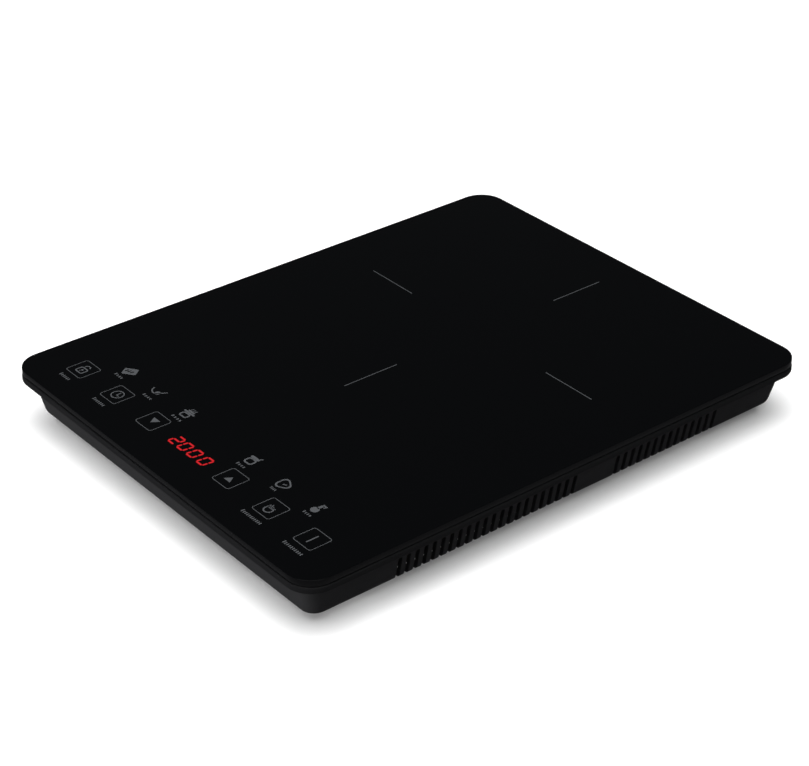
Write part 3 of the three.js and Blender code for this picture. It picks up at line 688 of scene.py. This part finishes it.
FAN_LOW, FAN_HIGH = box_mm("fan_frame")
fan = middle("fan_frame")
GRILLE_RADIUS = 36.0
GRILLE_PITCH = 6.2
SLOT_W = 3.2
for i in range(-5, 6):
    along = 2 * math.sqrt(GRILLE_RADIUS ** 2 - (i * GRILLE_PITCH) ** 2)
    bar(wells, (along, SLOT_W, 8), (fan.x, fan.y + i * GRILLE_PITCH, CASE_LOW.z), soft=1.5, segments=5)

# %% [markdown]
# The side slots are 2.7 mm wide on a 5.75 mm pitch, in a long group of 22 beside the panel end and a
# short group of 14 behind it. They stop well under the lip, and a moulded slot has rounded corners.

# %% Side slots
SLOT_PITCH = 5.75
SIDE_SLOT_W = 2.7
SIDE_SLOT_TOP = 22.6
CUTTER_W, CUTTER_H, CUTTER_X = 22.5, 18, 129.75
SLOT_GROUPS = [(-111.9, 22), (40.6, 14)]
slots = bmesh.new()
for first, count in SLOT_GROUPS:
    for i in range(count):
        for side in (-1, 1):
            place = (side * CUTTER_X, first + i * SLOT_PITCH, SIDE_SLOT_TOP - CUTTER_H / 2)
            bar(slots, (CUTTER_W, SIDE_SLOT_W, CUTTER_H), place, soft=0.7, soft_axis=0, segments=3)
case_mesh = carved(bm, ("DIFFERENCE", cavity), ("UNION", bosses), ("DIFFERENCE", wells),
                   ("DIFFERENCE", holes), ("DIFFERENCE", slots))
finish_piece("bottom_tub", case_mesh, "case_plastic", ["bottom_case"])

# %% [markdown]
# ## Feet and grommet
# Both are rubber bodies of revolution. A foot has a ring that touches the table, a hollow middle so
# that it grips, and a spigot that snaps through the floor. The grommet has a flange on each side of
# the wall and a bore for the mains lead.

# %% Feet and grommet
for node in FEET:
    x, y, _ = middle(node)
    foot_top = CASE_LOW.z - ASSEMBLY_GAP
    profile = [(0, 1.4), (4.6, 1.4), (5.4, 0.8), (5.8, 0), (8.4, 0), (9.5, 0.45), (10, 1.3),
               (9.85, 4.4), (9.4, foot_top - 0.4), (9.0, foot_top), (3, foot_top), (3, floor_z + 0.3),
               (4.2, floor_z + 0.3), (3, floor_z + 2), (0, floor_z + 2)]
    bm = bmesh.new()
    spun(bm, profile, (x, y, 0))
    finish_piece(node.replace("foot", "rubber_foot"), bm, "foot_rubber", [node])

inner, outer = GLAND_LOW.y, GLAND_HIGH.y
profile = [(3.4, inner), (6.2, inner), (7, inner + 0.7), (7, inner + 3), (4.9, inner + 3),
           (4.9, outer - 3.3), (7.1, outer - 3.3), (7.3, outer - 2.9), (7, outer - 1.4),
           (6.2, outer - 0.7), (4.8, outer), (3.8, outer), (3.4, outer - 0.4), (3.4, inner)]
bm = bmesh.new()
spun(bm, profile, (gland.x, 0, gland.z), "Y")
finish_piece("cord_grommet", bm, "foot_rubber", ["cord_gland"])

# %% [markdown]
# ## Screws
# All thirteen screws are one shape at three sizes: a pan head with a cross recess, and a shank with
# a thread. The thread is drawn as rings, because a true helix can't be seen at this size.

# %% Screws
def screw(node, over=False):
    low, high = box_mm(node)
    x, y, _ = middle(node)
    head_r = (high.x - low.x) / 2
    shank_r = head_r * 0.4
    head_h = 1.7
    length = high.z - low.z - head_h
    profile = [(0, -length), (shank_r * 0.5, -length + 0.5)]
    crests = int((length - 1.5) / 0.9)
    for i in range(crests):
        z = -length + 1 + i * 0.9
        profile += [(shank_r * 0.82, z), (shank_r, z + 0.3), (shank_r * 0.82, z + 0.6)]
    profile += [(shank_r * 0.82, 0), (head_r - 0.1, 0), (head_r, 0.15), (head_r, 0.7),
                (head_r * 0.85, 1.25), (head_r * 0.5, 1.6), (0, head_h)]
    bm = bmesh.new()
    spun(bm, profile, (0, 0, 0), segments=24)
    recess = bmesh.new()
    bar(recess, (head_r * 1.1, head_r * 0.26, 1.4), (0, 0, head_h))
    across = bmesh.new()
    bar(across, (head_r * 0.26, head_r * 1.1, 1.4), (0, 0, head_h))
    bm = carved(bm, ("DIFFERENCE", recess), ("DIFFERENCE", across))
    turn = Matrix.Rotation(math.pi if over else 0, 4, "X")
    seat_z = low.z + head_h if over else high.z - head_h
    bmesh.ops.transform(bm, matrix=Matrix.Translation((x, y, seat_z)) @ turn, verts=bm.verts)
    finish_piece(node.replace("screw", "cross_screw"), bm, "zinc_steel", [node])


for node in CASE_SCREWS:
    screw(node, over=True)
for node in seats:
    screw(node)

# %% [markdown]
# ## Fan
# The fan is a square frame with a round duct, four struts and a bearing tube, round a rotor whose
# seven blades are pitched and swept. Each blade is a small grid wrapped round the hub by a formula
# and then given its thickness.

# %% Fan frame
FAN_BORE = 38.0
STRUT_T = 2.0
strut_z = FAN_HIGH.z - STRUT_T
size = (FAN_HIGH.x - FAN_LOW.x, FAN_HIGH.y - FAN_LOW.y)
levels = [(0.5, 4, FAN_LOW.z), (0, 4, FAN_LOW.z + 0.5), (0, 4, FAN_HIGH.z - 0.5), (0.5, 4, FAN_HIGH.z)]
bm = bmesh.new()
sweep_outline(bm, size, levels, arc=6, centre=(fan.x, fan.y))
duct, tube, bores = bmesh.new(), bmesh.new(), bmesh.new()
# The two struts stay apart until they are joined, because a boolean tool may not cross itself.
struts = [bmesh.new(), bmesh.new()]
STRUT_SINK = 0.1  # keeps the struts off the plane of the frame's face
drum(duct, FAN_BORE, FAN_LOW.z - 1, FAN_HIGH.z + 1, (fan.x, fan.y), 96)
for i, strut in enumerate(struts):
    place = (fan.x, fan.y, strut_z + STRUT_T / 2 - STRUT_SINK)
    bar(strut, (78, 3.6, STRUT_T), place, turn=math.radians(45 + 90 * i))
drum(tube, 15, strut_z, FAN_HIGH.z, (fan.x, fan.y), 64)
spindle = bmesh.new()
drum(spindle, 3, 16, strut_z + 0.5, (fan.x, fan.y), 32)
drum(bores, 1.6, 15, strut_z - 0.3, (fan.x, fan.y), 32)
HOLE_OFFSET = 35.75
for sx in (-1, 1):
    for sy in (-1, 1):
        drum(bores, 2.2, 11, FAN_HIGH.z + 1, (fan.x + sx * HOLE_OFFSET, fan.y + sy * HOLE_OFFSET), 20)
bm = carved(bm, ("DIFFERENCE", duct), ("UNION", struts[0]), ("UNION", struts[1]), ("UNION", tube),
            ("UNION", spindle), ("DIFFERENCE", bores))
finish_piece("fan_duct", bm, "fan_plastic", ["fan_frame"])

# %% Fan rotor
ROTOR_LOW = box_mm("fan_rotor")[0]
HUB_R = 17.5
TIP_R = 36.6
BLADES = 7
cup = [(0, ROTOR_LOW.z), (14.5, ROTOR_LOW.z), (16.6, ROTOR_LOW.z + 0.5), (HUB_R, ROTOR_LOW.z + 1.6),
       (HUB_R, strut_z - 1.5), (HUB_R - 1.6, strut_z - 1.5), (HUB_R - 1.6, ROTOR_LOW.z + 1.8),
       (1.5, ROTOR_LOW.z + 1.8), (1.5, strut_z - 2), (0, strut_z - 2)]
bm = bmesh.new()
spun(bm, cup, (fan.x, fan.y, 0), segments=72)
blades = bmesh.new()
for i in range(BLADES):
    grid = bmesh.ops.create_grid(blades, x_segments=10, y_segments=8, size=1)["verts"]
    for vert in grid:
        across, chord = (vert.co.x + 1) / 2, vert.co.y
        radius = HUB_R - 0.9 + across * (TIP_R - HUB_R + 0.9)
        sweep = 0.22 * across ** 1.5
        half_angle = (0.36 - 0.1 * across) * (1 - 0.12 * across)
        turn = math.tau * i / BLADES + sweep + chord * half_angle
        camber = 0.9 * (1 - chord ** 2)
        height = 18.6 + chord * (4.9 - 1.4 * across) + camber
        vert.co = (fan.x + radius * math.cos(turn), fan.y + radius * math.sin(turn), height)
    faces = list({f for v in grid for f in v.link_faces})
    bmesh.ops.recalc_face_normals(blades, faces=faces)
    bmesh.ops.solidify(blades, geom=faces, thickness=1.1)
bm = carved(bm, ("UNION", blades))
finish_piece("fan_impeller", bm, "fan_plastic", ["fan_rotor"], body="fan_rotor")

# %% [markdown]
# ## Coil, choke and touch springs
# Wound parts start as a curve with a round section, because a curve keeps an even wire however it
# bends. Each is turned into a mesh at once and closed at its ends.


# %% A wire along a formula
def wound(points, wire_r, sides=3, flatten=None):
    """A round wire through points as a closed bmesh, in millimetres."""
    curve = bpy.data.curves.new("winding", "CURVE")
    curve.dimensions = "3D"
    curve.bevel_depth, curve.bevel_resolution, curve.use_fill_caps = wire_r, sides, True
    spline = curve.splines.new("POLY")
    spline.points.add(len(points) - 1)
    for point, place in zip(spline.points, points):
        point.co = (*place, 1)
    holder = bpy.data.objects.new("winding", curve)
    scene.collection.objects.link(holder)
    graph = bpy.context.evaluated_depsgraph_get()
    mesh = bpy.data.meshes.new_from_object(holder.evaluated_get(graph), depsgraph=graph)
    bpy.data.objects.remove(holder)
    bm = bmesh.new()
    bm.from_mesh(mesh)
    bmesh.ops.remove_doubles(bm, verts=bm.verts, dist=0.0005)
    if flatten:
        centre_z, factor = flatten
        for vert in bm.verts:
            vert.co.z = centre_z + (vert.co.z - centre_z) * factor
    return bm


# %% The flat coil
COIL_LOW, COIL_HIGH = box_mm("coil_winding")
coil = middle("coil_winding")
COIL_INNER, COIL_TURNS, TURN_STEPS = 25.0, 22, 60
coil_outer = (COIL_HIGH.x - COIL_LOW.x) / 2
pitch = (coil_outer - COIL_INNER) / (COIL_TURNS + 1)
litz_r = pitch * 0.47
points = []
for i in range(COIL_TURNS * TURN_STEPS + 1):
    turns = i / TURN_STEPS
    radius = COIL_INNER + litz_r + 0.1 + pitch * turns
    angle = math.tau * turns
    points.append((coil.x + radius * math.cos(angle), coil.y + radius * math.sin(angle), coil.z))
bundle_height = (COIL_HIGH.z - COIL_LOW.z) / (2 * litz_r)
finish_piece("litz_coil", wound(points, litz_r, 2, (coil.z, bundle_height)), "coil_copper", ["coil_winding"])

# %% The filter choke
choke_low = box_mm("filter_choke")[0]
choke = middle("filter_choke")
CHOKE_TURNS, STEPS_PER_TURN = 26, 14
CORE_R = 7.6
core_z = choke_low.z + 5.1
points = []
for i in range(CHOKE_TURNS * STEPS_PER_TURN):
    round_core = math.tau * i / (CHOKE_TURNS * STEPS_PER_TURN)
    round_wire = math.tau * i / STEPS_PER_TURN
    radius = CORE_R + 3.4 * math.cos(round_wire)
    points.append((choke.x + radius * math.cos(round_core), choke.y + radius * math.sin(round_core),
                   core_z + 3.6 * math.sin(round_wire)))
bm = wound(points, 0.45, 2)
finish_piece("choke_wire", bm, "choke_winding", ["filter_choke"])
bm = bmesh.new()
profile = [(CORE_R + 2.7 * math.cos(math.tau * i / 12), core_z + 2.9 * math.sin(math.tau * i / 12))
           for i in range(13)]
spun(bm, profile, (choke.x, choke.y, 0))
finish_piece("choke_core", bm, "choke_winding", finish="ferrite")

# %% Touch springs
KEYS = ["lock", "timer", "down", "up", "function", "power"]
SPRING_TURNS = 4
SPRING_R = 4.5
for key in KEYS:
    low, high = box_mm(f"touch_spring_{key}")
    x, y, _ = middle(f"touch_spring_{key}")
    wire_r = 0.4
    steps = SPRING_TURNS * 28
    points = []
    for i in range(steps + 1):
        share = i / steps
        rise = (1 - math.cos(math.pi * share)) / 2 * 0.4 + share * 0.6
        height = low.z + wire_r + rise * (high.z - low.z - 2 * wire_r)
        angle = math.tau * SPRING_TURNS * share
        points.append((x + SPRING_R * math.cos(angle), y + SPRING_R * math.sin(angle), height))
    finish_piece(f"key_spring_{key}", wound(points, wire_r, 2), "zinc_steel", [f"touch_spring_{key}"])

# %% [markdown]
# ## Marks on the glass
# The marks are enamel fired on the glass, a few hundredths of a millimetre high. Each is a thin
# solid let into the surface, so its edge is crisp from every side. Words on such a panel are replaced
# here by plain blocks, which keep the look of small print and say nothing.

# %% Tools for thin marks
MARK_LOW = glass_top_z - 0.02
MARK_HIGH = glass_top_z + 0.02


def dash(bm, start, end, width, soft=0.0):
    """A straight stroke between two points."""
    start, end = Vector(start), Vector(end)
    run = end - start
    place = (*((start + end) / 2), (MARK_LOW + MARK_HIGH) / 2)
    turn = math.atan2(run.y, run.x)
    bar(bm, (run.length, width, MARK_HIGH - MARK_LOW), place, turn, soft, segments=3)


def frame_mark(bm, centre, size, corner, line):
    """A rounded rectangle drawn as an outline."""
    ring = [(0, corner, MARK_LOW), (0, corner, MARK_HIGH), (line, corner - line, MARK_HIGH),
            (line, corner - line, MARK_LOW), (0, corner, MARK_LOW)]
    sweep_outline(bm, size, ring, arc=6, ring=True, centre=centre)


def hoop(bm, centre, radius, line):
    """A circle drawn as an outline."""
    ring = [(radius, MARK_LOW), (radius, MARK_HIGH), (radius - line, MARK_HIGH),
            (radius - line, MARK_LOW), (radius, MARK_LOW)]
    spun(bm, ring, (*centre, 0), segments=40)


def arc_mark(bm, centre, radius, line, start, end):
    """Part of a circle, from one angle to another in degrees."""
    before = set(bm.verts)
    corners = [(radius, MARK_LOW), (radius, MARK_HIGH), (radius - line, MARK_HIGH), (radius - line, MARK_LOW)]
    verts = [bm.verts.new((r, 0, z)) for r, z in corners]
    face = bm.faces.new(verts)
    bmesh.ops.rotate(bm, verts=verts, cent=(0, 0, 0), matrix=Matrix.Rotation(math.radians(start), 3, "Z"))
    bmesh.ops.spin(bm, geom=[face], cent=(0, 0, 0), axis=(0, 0, 1),
                   angle=math.radians(end - start), steps=16)
    bmesh.ops.translate(bm, verts=[v for v in bm.verts if v not in before], vec=(*centre, 0))


def patch(bm, outline):
    """A filled shape through a few points."""
    face = bm.faces.new([bm.verts.new((x, y, MARK_LOW)) for x, y in outline])
    risen = bmesh.ops.extrude_face_region(bm, geom=[face], use_keep_orig=True)["geom"]
    top = [v for v in risen if isinstance(v, bmesh.types.BMVert)]
    bmesh.ops.translate(bm, verts=top, vec=(0, 0, MARK_HIGH - MARK_LOW))


def disc(bm, centre, radius, segments=28):
    drum(bm, radius, MARK_LOW, MARK_HIGH, centre, segments)


def words(bm, centre, width, height, blocks):
    """Blocks in a row, in place of a word."""
    pitch = width / blocks
    for i in range(blocks):
        x = centre[0] - width / 2 + pitch * (i + 0.5)
        tall = height * (1.0 if i == 0 else 0.78)
        dash(bm, (x, centre[1] - height / 2), (x, centre[1] - height / 2 + tall), pitch * 0.5, soft=0.08)


# %% [markdown]
# Each touch key is a rounded square outline with its symbol inside. A symbol is drawn by its own
# function round the centre of its key, with the user's right as +X.

# %% Symbols of the six keys
def lock_symbol(bm, x, y):
    frame_mark(bm, (x, y - 1.3), (6.8, 5.8), 1.7, 0.85)
    disc(bm, (x + 0.1, y - 1.0), 0.75)
    dash(bm, (x + 0.1, y - 1.2), (x - 0.7, y - 2.7), 0.5)
    arc_mark(bm, (x + 0.1, y + 2.3), 2.3, 0.75, 20, 185)


def timer_symbol(bm, x, y):
    hoop(bm, (x, y), 4.0, 0.7)
    dash(bm, (x, y - 0.35), (x, y + 2.5), 0.6)
    dash(bm, (x - 0.3, y - 0.65), (x + 2.1, y - 0.65), 0.6)


def down_symbol(bm, x, y):
    patch(bm, [(x - 3.0, y + 2.6), (x, y - 2.0), (x + 3.0, y + 2.6)])


def up_symbol(bm, x, y):
    patch(bm, [(x - 2.8, y - 2.6), (x + 2.8, y - 2.6), (x, y + 1.6)])


def function_symbol(bm, x, y):
    hoop(bm, (x - 0.1, y - 1.5), 3.1, 0.8)
    for i in range(4):
        top = 4.2 - abs(i - 1) * 0.9
        dash(bm, (x - 2.1 + i * 1.15, y - 0.6), (x - 2.1 + i * 1.15 - 0.4, y + top - 1.2), 0.6, soft=0.2)
    dash(bm, (x - 3.2, y + 0.3), (x + 2.6, y + 1.1), 0.45)


def power_symbol(bm, x, y):
    dash(bm, (x, y - 3.9), (x, y + 3.9), 0.85)


KEY_SIZE, KEY_CORNER, KEY_LINE = 14.9, 1.7, 0.38
LABEL_Y, LABEL_H = -162.0, 2.4
SYMBOLS = {"lock": (lock_symbol, 10.0, 6), "timer": (timer_symbol, 11.4, 7),
           "down": (down_symbol, 0, 0), "up": (up_symbol, 0, 0),
           "function": (function_symbol, 17.0, 11), "power": (power_symbol, 16.1, 10)}
for key, (symbol, label_width, blocks) in SYMBOLS.items():
    x, y, _ = middle(f"touch_spring_{key}")
    bm = bmesh.new()
    frame_mark(bm, (x, y), (KEY_SIZE, KEY_SIZE), KEY_CORNER, KEY_LINE)
    symbol(bm, x, y)
    if blocks:
        words(bm, (x, LABEL_Y), label_width, LABEL_H, blocks)
    finish_piece(f"key_mark_{key}", bm, "panel_print")

# %% [markdown]
# Above the keys stands a row of six cooking programmes: grill, wok, steamer, pot, kettle and jug. They
# are small filled pictures, so each is a handful of strokes, hoops and patches.

# %% Pictures of the programmes
def grill_picture(bm, x, y):
    slab, gaps = bmesh.new(), bmesh.new()
    level = (MARK_LOW + MARK_HIGH) / 2
    bar(slab, (8.6, 6.2, MARK_HIGH - MARK_LOW), (x, y, level), math.radians(35), 0.9)
    for i in (-1, 0, 1):
        place = (x - 0.4 + i * 1.9, y - 0.2 + i * 0.5, level)
        bar(gaps, (1.0, 2.6, 1), place, math.radians(-10), 0.3)
    piece = carved(slab, ("DIFFERENCE", gaps))
    mesh = bpy.data.meshes.new("grill")
    piece.to_mesh(mesh)
    bm.from_mesh(mesh)


def wok_picture(bm, x, y):
    arc_mark(bm, (x - 1.6, y + 1.6), 4.6, 0.85, 185, 300)
    dash(bm, (x + 0.3, y - 2.1), (x + 4.0, y + 3.6), 0.85, soft=0.3)
    disc(bm, (x + 0.5, y - 1.0), 1.7)


def steamer_picture(bm, x, y):
    frame_mark(bm, (x, y - 2.2), (6.6, 4.6), 1.6, 1.0)
    dash(bm, (x - 4.6, y + 0.9), (x + 4.6, y + 0.9), 1.3, soft=0.4)
    dash(bm, (x - 2.8, y + 2.4), (x + 2.8, y + 2.4), 1.2, soft=0.4)
    for i in (-1, 0, 1):
        dash(bm, (x + i * 1.7, y + 3.4), (x + i * 1.7 + 0.5, y + 5.0), 0.6)


def pot_picture(bm, x, y):
    frame_mark(bm, (x, y - 1.5), (6.8, 5.8), 2.2, 1.1)
    dash(bm, (x - 3.7, y + 2.2), (x + 3.1, y + 2.2), 1.9, soft=0.6)
    dash(bm, (x + 2.2, y + 3.4), (x + 3.6, y + 4.6), 0.9)


def kettle_picture(bm, x, y):
    before = set(bm.verts)
    hoop(bm, (0, 0), 4.3, 1.0)
    outline = [v for v in bm.verts if v not in before]
    for vert in outline:
        swell = 1 + 0.13 * math.cos(3 * math.atan2(vert.co.y, vert.co.x))
        vert.co.x, vert.co.y = vert.co.x * swell, vert.co.y * swell
    bmesh.ops.translate(bm, verts=outline, vec=(x, y - 0.6, 0))
    dash(bm, (x - 0.2, y - 1.3), (x + 1.9, y - 0.1), 0.8)


def jug_picture(bm, x, y):
    disc(bm, (x - 0.3, y - 2.4), 2.5)
    dash(bm, (x - 0.4, y - 0.6), (x - 0.1, y + 2.8), 1.9)
    dash(bm, (x - 0.9, y + 3.6), (x + 2.6, y + 3.4), 0.9, soft=0.3)
    dash(bm, (x + 2.2, y + 3.2), (x + 1.6, y + 1.6), 0.7)


PROGRAMMES = {"grill": (grill_picture, -88.6, 8.0), "wok": (wok_picture, -59.6, 8.6),
              "steamer": (steamer_picture, -30.6, 9.4), "pot": (pot_picture, 30.0, 7.6),
              "kettle": (kettle_picture, 59.0, 5.0), "jug": (jug_picture, 88.4, 7.0)}
guide = middle("light_guide")
for name, (picture, x, label_width) in PROGRAMMES.items():
    bm = bmesh.new()
    picture(bm, x, guide.y + 1.4)
    words(bm, (x, guide.y - 6.1), label_width, 1.9, 4)
    finish_piece(f"programme_mark_{name}", bm, "panel_print")

# %% [markdown]
# Four ticks point at the middle of the cooking zone, so that a pan can be centred by eye.

# %% Zone ticks
bm = bmesh.new()
for i in range(4):
    out = Vector((1, 0)).copy()
    out.rotate(Matrix.Rotation(math.pi / 2 * i, 2))
    centre = Vector((coil.x, coil.y))
    dash(bm, centre + out * 60, centre + out * 97.5, 0.5)
finish_piece("zone_ticks", bm, "panel_print")

# %% [markdown]
# ## The display
# A four-digit, seven-segment display shows the power in watts. Its segments lean to the right and
# have pointed ends. Each is drawn twice: a wide dim one, and a narrow bright one on top, because a lit
# segment is brighter in the middle than at its rim.

# %% Seven-segment digits
DIGIT_W, DIGIT_H, LEAN = 6.9, 8.4, math.radians(8)
SEGMENTS = {"a": ((0, 1), (1, 1)), "b": ((1, 1), (1, 0.5)), "c": ((1, 0.5), (1, 0)), "d": ((1, 0), (0, 0)),
            "e": ((0, 0), (0, 0.5)), "f": ((0, 0.5), (0, 1)), "g": ((0, 0.5), (1, 0.5))}
LIT = {"2": "abged", "0": "abcdef"}
module = middle("display_module")
DIGITS = [("2", -11.6), ("0", -3.4), ("0", 5.6), ("0", 15.2)]


def digit_layer(width, trim, low, high):
    """All lit segments as pointed bars of one width."""
    bm = bmesh.new()
    for digit, left in DIGITS:
        for name in LIT[digit]:
            ends = []
            for across, up in SEGMENTS[name]:
                y = (up - 0.5) * (DIGIT_H - 1.2)
                x = left + (across - 0.5) * (DIGIT_W - 1.6) + y * math.tan(LEAN)
                ends.append(Vector((x, module.y + y)))
            run = (ends[1] - ends[0]).normalized()
            start, end = ends[0] + run * trim, ends[1] - run * trim
            length = (end - start).length
            verts = bar(bm, (length, width, high - low), (0, 0, 0), soft=width * 0.49, segments=1)
            turn = Matrix.Rotation(math.atan2(run.y, run.x), 4, "Z")
            place = Matrix.Translation((*((start + end) / 2), (low + high) / 2))
            bmesh.ops.transform(bm, matrix=place @ turn, verts=verts)
    return bm


finish_piece("display_digits", digit_layer(1.25, 0.1, MARK_LOW, glass_top_z + 0.01), "display_light")
finish_piece("display_digit_cores", digit_layer(0.6, 0.35, MARK_LOW, MARK_HIGH), "display_light",
             finish="display_core")

# %% [markdown]
# ## Finishes on the carried-over parts
# The boards, capacitors, ferrites and other inner parts keep their CAD shape. The record names the
# finish of each, so one loop dresses them all.

# %% Dress the CAD nodes
for part in frame["record"]["subparts"]:
    shown = frame["nodes"][part["node"]]
    shown.data.materials.clear()
    shown.data.materials.append(FINISHES[part["material_slot"]])

# %% [markdown]
# ## Studio
# The glass mirrors whatever stands opposite the camera, so that side is left dark and the light comes
# from a large panel overhead. A low card in front lifts the user's side of the case. Both would
# mirror as white patches in the glass, so they are hidden from glossy rays, and a third, dim panel
# gives the glass and the mouldings their sheen. The table is white to the camera and darker to the
# object, as it would be under a real product shot with flags around it, and a little light of its
# own keeps the contact shadow soft.

# %% Table
bpy.ops.mesh.primitive_grid_add(x_subdivisions=4, y_subdivisions=4, size=12, location=(0, 0, 0))
table = bpy.context.object
table.name = "table"
n, table_shader = blank("table_surface")
paper = n.blend(n.noise(3.0, 3.0), (0.86, 0.86, 0.86, 1), (0.9, 0.9, 0.9, 1))
ray = n.add("ShaderNodeLightPath").outputs
to_the_object = n.blend(ray["Is Glossy Ray"], (0.24, 0.24, 0.25, 1), (0.04, 0.04, 0.042, 1))
n.feed(table_shader.inputs["Base Color"], n.blend(ray["Is Camera Ray"], to_the_object, paper))
n.feed(table_shader.inputs["Emission Color"], n.blend(ray["Is Camera Ray"], (0, 0, 0, 1), (0.1, 0.1, 0.1, 1)))
table_shader.inputs["Emission Strength"].default_value = 1.0
n.feed(table_shader.inputs["Roughness"], n.spread(n.noise(60.0), 0.75, 0.9))
table.data.materials.append(FINISHES["table_surface"])


# %% Lights
def panel_light(name, place, aim, size, watts, mirrored=False):
    """A soft panel; only a mirrored one shows in the gloss of the glass."""
    data = bpy.data.lights.new(name, "AREA")
    data.shape, data.size, data.size_y, data.energy = "RECTANGLE", *size, watts
    lamp = bpy.data.objects.new(name, data)
    lamp.location = place
    lamp.rotation_euler = (Vector(aim) - Vector(place)).to_track_quat("-Z", "Y").to_euler()
    lamp.visible_glossy = mirrored
    scene.collection.objects.link(lamp)
    return lamp


panel_light("overhead_panel", (0.3, -0.3, 2.2), (0, 0, 0), (3.2, 3.2), 122)
panel_light("front_card", (-0.5, -1.9, 0.22), (0, 0, 0.02), (1.6, 0.4), 42)
panel_light("gloss_panel", (0.3, -0.3, 2.1), (0, 0, 0), (1.7, 1.7), 6, mirrored=True)
world = bpy.data.worlds.new("studio")
world.use_nodes = True
world.node_tree.nodes["Background"].inputs["Color"].default_value = (0.9, 0.95, 1.0, 1)
world.node_tree.nodes["Background"].inputs["Strength"].default_value = 0.02
scene.world = world
scene.view_settings.view_transform = "Standard"
